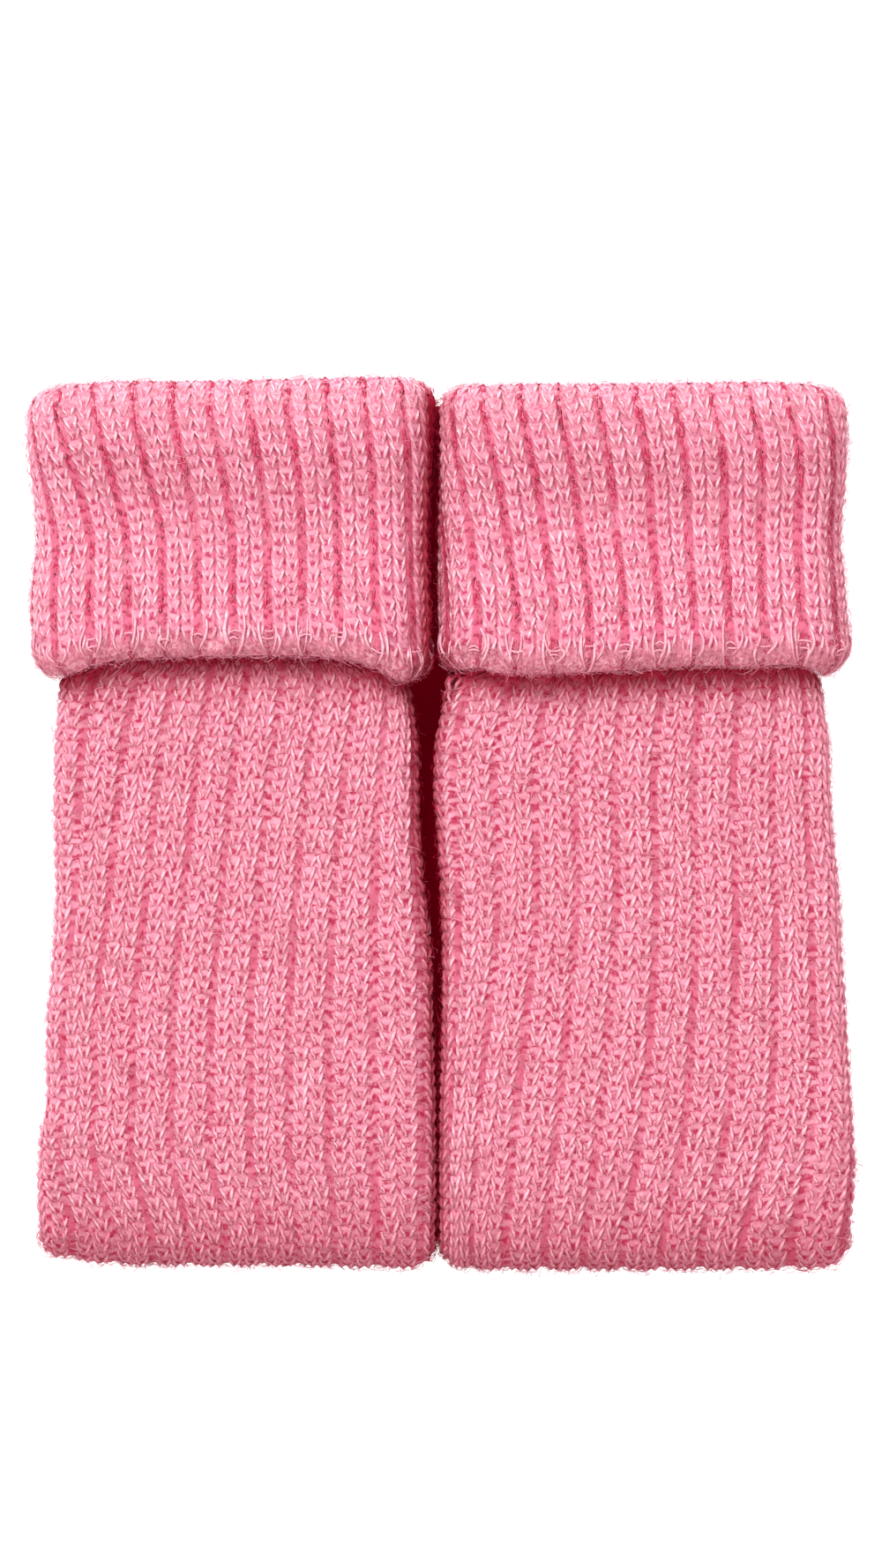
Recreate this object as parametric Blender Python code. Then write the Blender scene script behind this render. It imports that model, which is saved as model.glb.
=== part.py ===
"""A pair of ribbed leg warmers, folded and laid flat side by side.

Each leg warmer is one knitted tube. It is pressed flat and folded in half across its length, so its
far half lies under its near half with a thick round fold at the low end, and its top is turned down
on the outside as a deep cuff that wraps both halves. Every size is in millimetres until a mesh is made.

    leg_left, leg_right     the folded tube: a rounded solid, two lobes deep along its sides, ribbed on
                            all that shows, plain inside the cuff and flat where it rests
    cuff_left, cuff_right   the turned-down top: a ribbed wall all round the leg, with a rolled hem below
                            and, above, a round fold that turns down into the flattened mouth

X runs across the pair, +Y towards the cuffs and +Z up from the surface that the pair lies on.
"""

import bpy
import numpy as np

MM = 0.001

# The knit: two knit columns stand up as a rib, two purl columns sink between them.
WALL = 3.2  # the knit's thickness in a purl valley
SEAM_GAP = 0.35  # air between two pieces that touch
RIB_RISE = {"leg": 1.2, "cuff": 1.5}  # how far a rib stands over its valley
RIB_PHASES = (0.0, 0.2, 0.5, 0.8)  # mesh columns within one rib, from valley to valley
RIB_ROUNDNESS = 0.45  # 1 is a sine, less is a fuller rib with a narrower valley

# The leg, folded in half.
GROOVE_DEPTH = 3.2  # the side groove between the near and the far half
SIDE_FADE_RIBS = 3.0  # ribs lean less within this many ribs of a side groove
GROOVE_FADE = 4.0  # ribs die out this near a side groove
FLAT_FADE = 4.0  # ribs die out this near the surface that the pair lies on, on the cuff too
RIB_START_Y = (44.0, 51.0)  # ribs are full below the first height and gone above the second
FOLD_STEPS = 8  # mesh steps round the low fold

# The cuff.
MOUTH_DEPTH = 14.2  # from the top edge down to where the turned-in layer meets the leg
MOUTH_SLIT = 1.6  # the flattened mouth, between the near and the far rim
TOP_FOLD_STEPS = 7  # mesh steps over the top fold
TOP_FOLD_RIBS = 0.6  # share of the ribs' height that is left on the crest of the top fold
HEM_BACK_Y = 42.0  # the hem's height on the hidden side
CUFF_RIBS = 12  # ribs from one side of the cuff to the other, and as many again below
UNDER_RIBS = 2  # ribs on each lower side of the cuff, down to its underside
UNDER_STEPS = 16  # mesh steps across the cuff's underside, two to a rib

CROWN = 0.035  # how much thicker each leg warmer is at its middle than at its sides

COLOURS = {"leg": (0.79, 0.17, 0.30, 1.0), "cuff": (0.83, 0.19, 0.33, 1.0)}
ROUGHNESS = 0.95


def table(columns, *rows):
    """A table by its columns' names, from a line of names and a row of numbers for each section."""
    return dict(zip(columns.split(), np.array(rows).T))


# Thickness of everything within the cuff, from the surface up to the cuff's valleys.
CUFF_THICKNESS = table(
    "y z",
    (30.0, 26.9),
    (42.0, 26.8),
    (50.0, 26.4),
    (58.0, 25.0),
    (68.0, 22.4),
    (77.0, 21.0),
    (83.0, 21.0),
    (92.0, 22.2),
    (100.0, 23.3),
    (106.0, 23.1),
    (113.0, 21.8),
    (120.0, 20.8),
)
# Underside and topside of the leg.
LEG_BOTTOM = table(
    "y z",
    (-120.0, 0.0),
    (27.0, 0.0),
    (31.0, 0.8),
    (36.0, 2.4),
    (41.5, 3.55),
    (110.0, 3.55),
)
LEG_TOP = table(
    "y z",
    (-109.8, 17.0),
    (-103.0, 18.0),
    (-95.0, 19.0),
    (-84.0, 19.8),
    (-60.0, 20.0),
    (20.0, 20.0),
    (32.0, 20.2),
    (40.0, 20.9),
    (46.0, 21.6),
    (52.0, 19.8),
    (60.0, 16.6),
)

# One block for each leg warmer. Its tables are
#   leg, cuff      outline at each height y, with the lean of its ribs (how far they have drifted to the
#                  right of an even spread) in its left and right half
#   top, hem, low  height of the top edge, the hem and the low fold at each place x across
# and hollow is a soft diagonal dent across the cuff, from one end to the other.
LEFT = dict(
    leg=table(
        "y left right lean_left lean_right",
        (104.0, -98.2, -12.0, 5.5, 7.0),
        (60.0, -98.2, -12.0, 5.5, 7.0),
        (41.3, -98.2, -12.0, 5.4, 7.0),
        (39.4, -101.3, -8.9, 5.0, 6.8),
        (29.0, -102.5, -6.8, 3.8, 4.4),
        (20.0, -103.2, -5.8, 2.6, 2.4),
        (1.0, -103.4, -5.5, 0.6, 0.2),
        (-18.0, -102.9, -4.0, -2.0, -2.6),
        (-37.0, -103.9, -2.2, -4.0, -4.6),
        (-56.0, -105.5, -1.9, -4.6, -5.0),
        (-74.0, -105.2, -1.3, -4.8, -5.2),
        (-84.0, -107.2, -1.2, -4.4, -5.0),
        (-103.0, -107.9, -1.2, 0.0, -3.2),
        (-110.0, -107.5, -1.4, 1.6, -2.6),
    ),
    cuff=table(
        "y left right lean_left lean_right",
        (118.0, -109.2, -1.2, -7.0, -4.6),
        (113.0, -110.2, -1.2, -6.6, -4.4),
        (109.0, -110.6, -1.3, -6.0, -4.0),
        (99.0, -110.4, -1.6, -3.6, -2.4),
        (90.0, -109.4, -2.2, -1.6, -1.2),
        (76.0, -108.3, -2.6, 0.8, -0.6),
        (66.0, -109.4, -2.4, 2.2, -0.8),
        (57.0, -110.0, -2.0, 3.0, -1.0),
        (48.0, -109.2, -1.8, 3.0, -1.0),
        (43.0, -108.4, -1.8, 3.0, -1.0),
        (36.0, -106.5, -2.6, 3.0, -1.0),
    ),
    top=table(
        "x y",
        (-110.0, 115.9),
        (-105.0, 116.4),
        (-97.0, 117.3),
        (-86.0, 118.2),
        (-70.0, 118.2),
        (-40.0, 118.8),
        (-18.0, 119.3),
        (-6.0, 118.7),
        (0.0, 118.0),
    ),
    hem=table(
        "x y",
        (-110.0, 41.6),
        (-103.4, 39.0),
        (-97.0, 40.2),
        (-92.0, 41.8),
        (-85.0, 43.2),
        (-76.0, 43.9),
        (-40.0, 44.4),
        (-24.0, 43.2),
        (-17.5, 41.4),
        (-9.5, 37.6),
        (-4.0, 39.0),
        (-1.0, 41.0),
    ),
    low=table(
        "x y",
        (-108.0, -115.6),
        (-101.0, -116.0),
        (-95.0, -117.2),
        (-88.0, -117.9),
        (-70.0, -118.4),
        (-40.0, -118.5),
        (-8.0, -119.0),
        (0.0, -118.4),
    ),
    hollow=dict(start=(-98.0, 86.0), end=(-36.0, 70.0), width=9.0, depth=0.05),
    leg_ribs=11.5,
    first_valley=0.5,
)
RIGHT = dict(
    leg=table(
        "y left right lean_left lean_right",
        (104.0, 9.8, 98.6, 3.4, 6.6),
        (60.0, 9.8, 98.6, 3.4, 6.6),
        (41.3, 9.6, 98.6, 3.4, 6.6),
        (39.4, 1.6, 100.8, 3.4, 6.4),
        (29.0, -0.2, 102.7, 2.8, 5.2),
        (20.0, -1.8, 103.9, 2.2, 4.2),
        (10.0, -2.1, 104.2, 1.7, 3.6),
        (1.0, -1.3, 104.6, 1.4, 3.2),
        (-18.0, -0.3, 106.4, 0.6, 2.4),
        (-37.0, 0.2, 107.4, -1.4, 1.4),
        (-56.0, 0.0, 108.6, -3.6, 0.2),
        (-74.0, -0.5, 109.6, -5.6, -1.4),
        (-93.0, -0.6, 110.7, -7.6, -5.2),
        (-110.0, -0.6, 109.4, -8.8, -8.6),
    ),
    cuff=table(
        "y left right lean_left lean_right",
        (118.0, -0.6, 107.6, -3.6, -2.0),
        (113.0, -0.7, 108.6, -3.2, -1.6),
        (109.0, -0.7, 108.8, -2.6, -1.0),
        (99.0, -0.9, 108.6, -0.6, 1.0),
        (90.0, -1.0, 108.1, 1.4, 2.0),
        (76.0, -1.0, 107.0, 3.6, 2.4),
        (66.0, -1.0, 107.9, 5.2, 1.8),
        (57.0, -1.0, 108.6, 6.4, 1.0),
        (48.0, -0.9, 109.3, 6.4, 1.0),
        (43.0, -0.9, 108.0, 6.4, 1.0),
        (36.0, 0.2, 106.2, 6.4, 1.0),
    ),
    top=table(
        "x y",
        (0.0, 116.4),
        (6.0, 117.0),
        (14.0, 117.2),
        (23.0, 117.5),
        (50.0, 117.6),
        (84.0, 118.0),
        (94.0, 117.6),
        (103.0, 116.8),
        (109.0, 116.0),
    ),
    hem=table(
        "x y",
        (0.0, 41.1),
        (4.0, 40.7),
        (9.5, 41.0),
        (16.0, 39.7),
        (23.0, 39.4),
        (47.0, 40.4),
        (70.0, 41.6),
        (84.0, 41.4),
        (90.0, 42.0),
        (97.0, 41.4),
        (103.0, 39.6),
        (108.0, 41.8),
    ),
    low=table(
        "x y",
        (0.0, -118.2),
        (6.5, -119.0),
        (13.0, -119.5),
        (60.0, -119.5),
        (99.0, -119.2),
        (105.0, -118.4),
        (110.0, -117.4),
    ),
    hollow=dict(start=(26.0, 80.0), end=(92.0, 78.0), width=10.0, depth=0.05),
    leg_ribs=12.0,
    first_valley=0.25,
)
PAIR = {"left": LEFT, "right": RIGHT}

# Heights at which the leg has a row of mesh points, from its hidden top end to the low fold.
LEG_LEVELS_IN_CUFF = (80.0, 60.0, 53.0, 47.0, 41.4)
LEG_LEVELS_BELOW = (39.6, 36.0, 31.0, 26.0, 12.0, -6.0, -24.0, -42.0, -60.0, -75.0, -88.0, -99.0)
LOW_FOLD_Y = -109.8  # the axis of the low fold
LOW_EDGE_Y = LOW_FOLD_Y - LEG_TOP["z"][0] / 2 - RIB_RISE["leg"]  # where an even low edge would be
LOW_EDGE_REACH = 30.0  # an uneven low edge bends the leg's rows this far up

# Rows of the cuff from the hem up to the top fold. y = from_hem * hem + from_top * top + up.
#   inset   how far in from the cuff's face        proud   how far the rolled hem stands out
#   ribs    share of the full rib height
HEM_ROLL = (
    dict(up=0.0, inset=1.7, proud=0.0, ribs=0.0),
    dict(up=0.8, inset=0.0, proud=0.2, ribs=0.5),
    dict(up=2.8, inset=0.0, proud=1.2, ribs=0.7),
    dict(up=5.6, inset=0.0, proud=1.0, ribs=0.7),
    dict(up=8.4, inset=0.0, proud=0.0, ribs=0.8),
)
FACE_SHARES = (0.18, 0.27, 0.37, 0.47, 0.57, 0.66, 0.76, 0.85)  # rows between the hem roll and the top fold
INNER_SHARES = (0.60, 0.44, 0.28, 0.14)  # rows on the wall's hidden face, going down


def smooth(x, xs, ys):
    """A curve through the points (xs, ys) in cubic pieces that never overshoot, flat beyond the ends."""
    xs, ys = np.asarray(xs, float), np.asarray(ys, float)
    if xs[0] > xs[-1]:
        xs, ys = xs[::-1], ys[::-1]
    step = np.diff(xs)
    slope = np.diff(ys) / step
    product = slope[:-1] * slope[1:]
    inner = np.where(product > 0, 2 * product / np.where(product > 0, slope[:-1] + slope[1:], 1.0), 0.0)
    tangent = np.concatenate([[slope[0]], inner, [slope[-1]]])
    k = np.clip(np.searchsorted(xs, x) - 1, 0, len(step) - 1)
    t = np.clip((x - xs[k]) / step[k], 0.0, 1.0)
    rise = ys[k] + t * t * (3 - 2 * t) * (ys[k + 1] - ys[k])
    bend = t * (1 - t) * ((1 - t) * tangent[k] - t * tangent[k + 1]) * step[k]
    return rise + bend


def at(table, column, y):
    """A column of an outline table at the heights y."""
    return smooth(y, table["y"], table[column])


def ease(t):
    """0 below 0, 1 above 1, and a soft S between."""
    t = np.clip(t, 0.0, 1.0)
    return t * t * (3 - 2 * t)


def rib_height(ribs):
    """Height over the valley, from 0 to 1, at a place counted in ribs. Valleys are at whole numbers."""
    return np.abs(np.sin(np.pi * ribs)) ** RIB_ROUNDNESS


def rib_columns(first, last):
    """Places, in ribs, of the mesh columns from first to last, crowded as RIB_PHASES says."""
    whole = np.arange(np.floor(first), np.ceil(last) + 1)
    places = (whole[:, None] + np.array(RIB_PHASES)[None, :]).ravel()
    inside = places[(places > first + 0.1) & (places < last - 0.1)]
    return np.concatenate([[first], inside, [last]])


def lean(table, y, share):
    """Drift of the ribs at height y and at a share of the way across, from its two halves' values."""
    left, right = at(table, "lean_left", y), at(table, "lean_right", y)
    return left + (right - left) * np.clip(share * 2 - 0.5, 0.0, 1.0)


def settle(side, points):
    """The soft swell of a stuffed fold, and the dent across the cuff: both scale the height only."""
    x, y = points[..., 0], points[..., 1]
    cuff, hollow = side["cuff"], side["hollow"]
    left, right = at(cuff, "left", y), at(cuff, "right", y)
    across = np.clip((2 * x - left - right) / (right - left), -1.0, 1.0)
    start, end = np.array(hollow["start"]), np.array(hollow["end"])
    along = end - start
    t = np.clip(((x - start[0]) * along[0] + (y - start[1]) * along[1]) / (along @ along), 0.0, 1.0)
    away = np.hypot(x - start[0] - t * along[0], y - start[1] - t * along[1])
    dent = hollow["depth"] * np.exp(-((away / hollow["width"]) ** 2))
    settled = points.copy()
    settled[..., 2] *= 1 + CROWN * (1 - across**2) - dent
    return settled


def lobe_arcs(half):
    """Lengths of the two arcs of a lobe's side: groove to widest point, and from there to the face."""
    return np.pi / 2 * np.sqrt((GROOVE_DEPTH**2 + (half / 2) ** 2) / 2), np.pi / 2 * half / 2


def lobe(distance, half):
    """Half of one lobe of the folded leg, at a distance along its skin from the side groove.

    The skin runs round a quarter ellipse out to the side, round a quarter circle up to the face and then
    straight across. Returns how far in from the widest point it is, how far from the middle plane, and
    the outward and the upward part of its normal.
    """
    radius = half / 2
    low, high = lobe_arcs(half)
    a = np.clip(distance / low, 0, 1) * np.pi / 2
    b = np.clip((distance - low) / high, 0, 1) * np.pi / 2
    on_low, on_high = distance < low, distance < low + high
    inset = np.where(on_low, GROOVE_DEPTH * (1 - np.sin(a)), radius * (1 - np.cos(b)))
    inset = inset + np.maximum(distance - low - high, 0)
    off_middle = np.where(on_low, radius * (1 - np.cos(a)), radius * (1 + np.sin(b)))
    outward = np.where(on_low, np.sin(a), np.where(on_high, np.cos(b), 0.0))
    upward = np.where(on_low, -np.cos(a), np.where(on_high, np.sin(b), 1.0))
    return inset, off_middle, outward, upward


def leg_row(side, level, turn):
    """One row of the leg's skin, from the left groove to the right one.

    turn is 0 on the near face, 180 degrees on the far face, and between them round the low fold.
    """
    leg, rise = side["leg"], RIB_RISE["leg"]
    left, right = at(leg, "left", level) + rise, at(leg, "right", level) - rise
    bottom = smooth(level, LEG_BOTTOM["y"], LEG_BOTTOM["z"])
    top = smooth(level, LEG_TOP["y"], LEG_TOP["z"])
    half = (top - bottom) / 2

    skin = 2 * sum(lobe_arcs(half)) + (right - left) - half
    first = -side["first_valley"]
    ribs = rib_columns(first, first + side["leg_ribs"])
    even = (ribs - first) / side["leg_ribs"] * skin
    pitch = skin / side["leg_ribs"]
    near_groove = np.minimum(even, skin - even)
    walk = even + lean(leg, level, even / skin) * ease(near_groove / (SIDE_FADE_RIBS * pitch))

    on_left = walk < skin / 2
    inset, off_middle, outward, upward = lobe(np.minimum(walk, skin - walk), half)
    x = np.where(on_left, left + inset, right - inset)
    radial = np.stack([np.zeros_like(x), -np.sin(turn) * off_middle, np.cos(turn) * off_middle], -1)
    normal_x = np.where(on_left, -outward, outward)
    normal = np.stack([normal_x, -np.sin(turn) * upward, np.cos(turn) * upward], -1)

    uneven = smooth(x, side["low"]["x"], side["low"]["y"]) - LOW_EDGE_Y
    y = level + uneven * ease(1 - (level - LOW_FOLD_Y) / LOW_EDGE_REACH)
    points = np.stack([x, y, np.full_like(x, (top + bottom) / 2)], -1) + radial

    shown = ease((RIB_START_Y[1] - level) / (RIB_START_Y[1] - RIB_START_Y[0]))
    share = shown * ease(near_groove / GROOVE_FADE) * ease(points[:, 2] / FLAT_FADE)
    points += normal * (rise * rib_height(ribs) * share)[:, None]
    points[:, 2] = np.maximum(points[:, 2], bottom)
    return settle(side, points)


def leg_rows(side):
    """All rows of the leg's skin: down the near face, round the low fold and up the far face."""
    top_end = min(side["top"]["y"]) - RIB_RISE["cuff"] - MOUTH_DEPTH - SEAM_GAP
    levels = (top_end, *LEG_LEVELS_IN_CUFF, *LEG_LEVELS_BELOW)
    near = [leg_row(side, level, 0.0) for level in levels]
    turns = np.pi * np.arange(FOLD_STEPS + 1) / FOLD_STEPS
    fold = [leg_row(side, LOW_FOLD_Y, turn) for turn in turns]
    far = [leg_row(side, level, np.pi) for level in reversed(levels)]
    return np.array(near + fold + far)


def cuff_loop(ribs, left, right, thick, drift):
    """Points and normals round the cuff's face: up the left side, across the top, down the right side
    and back along the underside. ribs counts from the widest point of the left side.

    Each side is a half circle. Across the top the ribs keep their spacing and drift together; on the
    lower quarter of each side and on the underside the columns only spread over what is left.
    """
    radius = thick / 2
    quarter = np.pi / 2 * radius
    upper = right - left - 2 * radius + 2 * quarter
    below = np.maximum(np.maximum(-ribs, ribs - CUFF_RIBS), 0.0)
    even = np.clip(ribs, 0, CUFF_RIBS) / CUFF_RIBS * upper
    even = np.where(ribs < 0, ribs / UNDER_RIBS * quarter, even)
    even = np.where(ribs > CUFF_RIBS, upper + (ribs - CUFF_RIBS) / UNDER_RIBS * quarter, even)
    walk = even + drift * ease(1 - below / UNDER_RIBS)

    angle_left = np.clip(walk / radius, -np.pi / 2, np.pi / 2)
    angle_right = np.clip((upper - walk) / radius, -np.pi / 2, np.pi / 2)
    on_left, on_right = walk < quarter, walk > upper - quarter
    flat_x = left + radius + walk - quarter
    x = np.where(on_left, left + radius - radius * np.cos(angle_left), flat_x)
    x = np.where(on_right, right - radius + radius * np.cos(angle_right), x)
    angle = np.where(on_left, angle_left, np.where(on_right, angle_right, np.pi / 2))
    side = np.where(on_left, -np.cos(angle_left), np.where(on_right, np.cos(angle_right), 0.0))
    return x, radius + radius * np.sin(angle), side, np.sin(angle)


def underside(share, left, right, thick):
    """A place on the cuff's underside, at a share of the way from its right tangent point to its left."""
    return (right - thick / 2) + share * (left - right + thick)


def cuff_row(side, from_hem, from_top, up, inset, proud=0.0, ribs=0.0, tilt=0.0):
    """One closed row round the cuff. tilt turns the rib's direction from outward to straight up in Y."""
    cuff, rise = side["cuff"], RIB_RISE["cuff"]
    places = rib_columns(-float(UNDER_RIBS), float(CUFF_RIBS + UNDER_RIBS))
    under = np.arange(1, UNDER_STEPS) / UNDER_STEPS
    below = len(under)
    level = np.full(len(places) + below, from_hem * 43.0 + from_top * 118.0 + up)
    for _ in range(3):
        left, right = at(cuff, "left", level) + rise, at(cuff, "right", level) - rise
        thick = smooth(level, CUFF_THICKNESS["y"], CUFF_THICKNESS["z"])
        drift = lean(cuff, level[:-below], np.clip(places / CUFF_RIBS, 0, 1))
        x, z, out, above = cuff_loop(places, left[:-below], right[:-below], thick[:-below], drift)
        x = np.concatenate([x, underside(under, left[-below:], right[-below:], thick[-below:])])
        z = np.concatenate([z, np.zeros(below)])
        on_top = ease(z / thick * 1.6 - 0.3)
        hem = smooth(x, side["hem"]["x"], side["hem"]["y"])
        hem = HEM_BACK_Y + (hem - HEM_BACK_Y) * on_top
        top = smooth(x, side["top"]["x"], side["top"]["y"]) - rise * TOP_FOLD_RIBS
        level = from_hem * hem + from_top * top + up
    out = np.concatenate([out, np.zeros(below)])
    above = np.concatenate([above, -np.ones(below)])
    places = np.concatenate([places, under * UNDER_STEPS / 2])

    normal = np.stack([out, np.zeros_like(out), above], -1)
    points = np.stack([x, level, z], -1) - normal * inset
    direction = normal * np.cos(tilt)
    direction[:, 1] = np.sin(tilt)
    lift = rise * ribs * rib_height(places) + proud * np.maximum(above, 0)
    lift = lift * ease(points[:, 2] / FLAT_FADE)
    points += direction * lift[:, None]
    return settle(side, points)


def cuff_rows(side):
    """All rows of the cuff's wall: the rolled hem, the face, the top fold, the mouth and the inside."""
    lip = (CUFF_THICKNESS["z"][-1] - MOUTH_SLIT) / 2
    bend = lip / 2
    rows = [cuff_row(side, 1, 0, **row) for row in HEM_ROLL]
    rows += [cuff_row(side, 1 - share, share, 0.0, 0.0, ribs=1.0) for share in FACE_SHARES]
    for step in range(TOP_FOLD_STEPS + 1):
        turn = np.pi * step / TOP_FOLD_STEPS
        drop, inset = bend * (np.sin(turn) - 1), bend * (1 - np.cos(turn))
        ribs = smooth(turn, (0.0, np.pi / 2, np.pi), (1.0, TOP_FOLD_RIBS, 0.0))
        rows.append(cuff_row(side, 0, 1, drop, inset, ribs=ribs, tilt=min(turn, np.pi / 2)))
    rows.append(cuff_row(side, 0, 1, -MOUTH_DEPTH, lip))
    rows.append(cuff_row(side, 0, 1, -MOUTH_DEPTH, WALL))
    rows += [cuff_row(side, 1 - share, share, 0.0, WALL) for share in INNER_SHARES]
    rows.append(cuff_row(side, 1, 0, 3.0, WALL))
    rows.append(cuff_row(side, 1, 0, 0.8, WALL - 0.2))
    return np.array(rows[::-1])  # downwards on the face, as on the leg, so both skins face out


def skin_faces(rows, columns, closed_across):
    """Quads between neighbouring rows, the last row joining the first again."""
    r, c = np.meshgrid(np.arange(rows), np.arange(columns if closed_across else columns - 1), indexing="ij")
    next_r, next_c = (r + 1) % rows, (c + 1) % columns
    corners = [r * columns + c, next_r * columns + c, next_r * columns + next_c, r * columns + next_c]
    return np.stack(corners, -1).reshape(-1, 4)


def fabric(name, colour):
    """Matte brushed knit."""
    material = bpy.data.materials.new(name)
    material.use_nodes = True
    shader = material.node_tree.nodes["Principled BSDF"]
    shader.inputs["Base Color"].default_value = colour
    shader.inputs["Roughness"].default_value = ROUGHNESS
    shader.inputs["Metallic"].default_value = 0.0
    return material


def solid(name, rows, closed_across, colour, collection):
    """A closed solid from a grid of points, with points that fall together welded into one."""
    count, columns, _ = rows.shape
    mesh = bpy.data.meshes.new(name)
    faces = skin_faces(count, columns, closed_across)
    mesh.from_pydata((rows.reshape(-1, 3) * MM).tolist(), [], faces.tolist())
    mesh.shade_smooth()
    mesh.materials.append(fabric(f"{name}_knit", colour))
    piece = bpy.data.objects.new(name, mesh)
    collection.objects.link(piece)
    weld = piece.modifiers.new("weld", "WELD")
    weld.merge_threshold = 0.00001
    return piece


def main():
    for old in list(bpy.data.objects):
        bpy.data.objects.remove(old, do_unlink=True)
    collection = bpy.data.collections.new("leg_warmers")
    bpy.context.scene.collection.children.link(collection)
    for name, side in PAIR.items():
        solid(f"leg_{name}", leg_rows(side), False, COLOURS["leg"], collection)
        solid(f"cuff_{name}", cuff_rows(side), True, COLOURS["cuff"], collection)


main()
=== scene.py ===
# %% [markdown]
# # A pair of folded leg warmers in brushed rib knit
#
# Each leg warmer is a knitted tube that is pressed flat, folded in half behind itself and turned down at
# the top as a deep cuff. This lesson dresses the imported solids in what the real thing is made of: rows of
# yarn loops, knit one into the next, over a thin cloth of shadowed yarn, with loose hairs on top.
#
# All sizes are in millimetres until a mesh is made. X runs across the pair, +Y towards the cuffs, and +Z
# up from the surface that the pair lies on.

import bpy
import numpy as np
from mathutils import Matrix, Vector


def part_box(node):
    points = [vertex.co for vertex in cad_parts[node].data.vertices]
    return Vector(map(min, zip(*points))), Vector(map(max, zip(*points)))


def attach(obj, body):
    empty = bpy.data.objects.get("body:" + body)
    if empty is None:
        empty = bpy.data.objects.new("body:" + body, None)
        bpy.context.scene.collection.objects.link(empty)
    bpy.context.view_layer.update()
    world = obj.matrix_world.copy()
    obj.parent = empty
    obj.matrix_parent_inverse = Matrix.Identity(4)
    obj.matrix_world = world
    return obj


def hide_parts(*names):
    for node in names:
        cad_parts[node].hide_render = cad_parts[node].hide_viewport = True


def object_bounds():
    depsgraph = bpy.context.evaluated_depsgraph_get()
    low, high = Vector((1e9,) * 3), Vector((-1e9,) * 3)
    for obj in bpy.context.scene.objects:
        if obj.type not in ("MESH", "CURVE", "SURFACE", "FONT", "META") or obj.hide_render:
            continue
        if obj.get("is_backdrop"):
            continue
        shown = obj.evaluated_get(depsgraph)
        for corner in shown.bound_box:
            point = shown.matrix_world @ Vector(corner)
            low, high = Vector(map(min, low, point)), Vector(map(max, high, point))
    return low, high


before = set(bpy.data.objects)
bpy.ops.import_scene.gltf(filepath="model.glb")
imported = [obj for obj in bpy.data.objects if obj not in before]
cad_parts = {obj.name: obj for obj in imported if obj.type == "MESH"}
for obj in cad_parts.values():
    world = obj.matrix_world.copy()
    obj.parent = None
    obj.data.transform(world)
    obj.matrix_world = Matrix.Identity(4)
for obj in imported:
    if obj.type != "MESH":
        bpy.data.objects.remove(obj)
CAD_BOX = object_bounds()
MM = 0.001
RANDOM = np.random.default_rng(22)

for name in sorted(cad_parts):
    low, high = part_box(name)
    print(name, "is", [round(size / MM, 1) for size in high - low], "mm")

# %% [markdown]
# ## Small tools for curves and tables
#
# A garment's outline is known at a few heights. A smooth curve through those few points gives it
# everywhere. Cubic pieces that never overshoot keep a straight side straight, which a plain spline
# would not.


# %% Curves through a few points
def smooth(x, xs, ys):
    """Cubic pieces through (xs, ys): each slope is the harmonic mean of its neighbours' slopes."""
    xs, ys = np.asarray(xs, float), np.asarray(ys, float)
    if xs[0] > xs[-1]:
        xs, ys = xs[::-1], ys[::-1]
    step = np.diff(xs)
    slope = np.diff(ys) / step
    product = slope[:-1] * slope[1:]
    inner = np.where(product > 0, 2 * product / np.where(product > 0, slope[:-1] + slope[1:], 1.0), 0.0)
    tangent = np.concatenate([[slope[0]], inner, [slope[-1]]])
    k = np.clip(np.searchsorted(xs, x) - 1, 0, len(step) - 1)
    t = np.clip((x - xs[k]) / step[k], 0.0, 1.0)
    rise = ys[k] + t * t * (3 - 2 * t) * (ys[k + 1] - ys[k])
    bend = t * (1 - t) * ((1 - t) * tangent[k] - t * tangent[k + 1]) * step[k]
    return rise + bend


def ease(t):
    """0 below 0, 1 above 1, and 3t^2 - 2t^3 between."""
    t = np.clip(t, 0.0, 1.0)
    return t * t * (3 - 2 * t)


def table(columns, *rows):
    """A table by its columns' names, from a line of names and a row of numbers for each section."""
    return dict(zip(columns.split(), np.array(rows).T))


def at(outline, column, places):
    """A column of a table at places along its first column."""
    return smooth(places, next(iter(outline.values())), outline[column])


# %% [markdown]
# ## The garment's sizes
#
# These are the tables that the solids were made from: how thick the folded stack is, and each leg
# warmer's outline with the lean of its ribs. Soft knit never lies quite straight, so the ribs drift a few
# millimetres to one side and back.

# %% Thicknesses
WALL = 3.2  # of the turned-down cuff
RIB_RISE = {"leg": 1.2, "cuff": 1.5}
RIB_ROUNDNESS = 0.45
GROOVE_DEPTH = 3.2  # of the groove along each side, between the near and the far half of a leg
SIDE_FADE_RIBS = 3.0  # over which the ribs' drift dies out towards a side groove
GROOVE_FADE = 4.0
FLAT_FADE = 4.0  # how far above the table the ribs are pressed flat
MOUTH_SLIT = 1.6
TOP_FOLD_RIBS, MOUTH_RIBS = 0.6, 0.3  # how much of the ribs' rise is left at the top fold, in the mouth
HEM_BACK_Y = 42.0
CUFF_RIBS = 12  # across its face
UNDER_RIBS = 2  # round the lower quarter of each side
CROWN = 0.035  # how much thicker the stack is in the middle, as a share
LOW_FOLD_Y = -109.8
LOW_EDGE_REACH = 30.0

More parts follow.
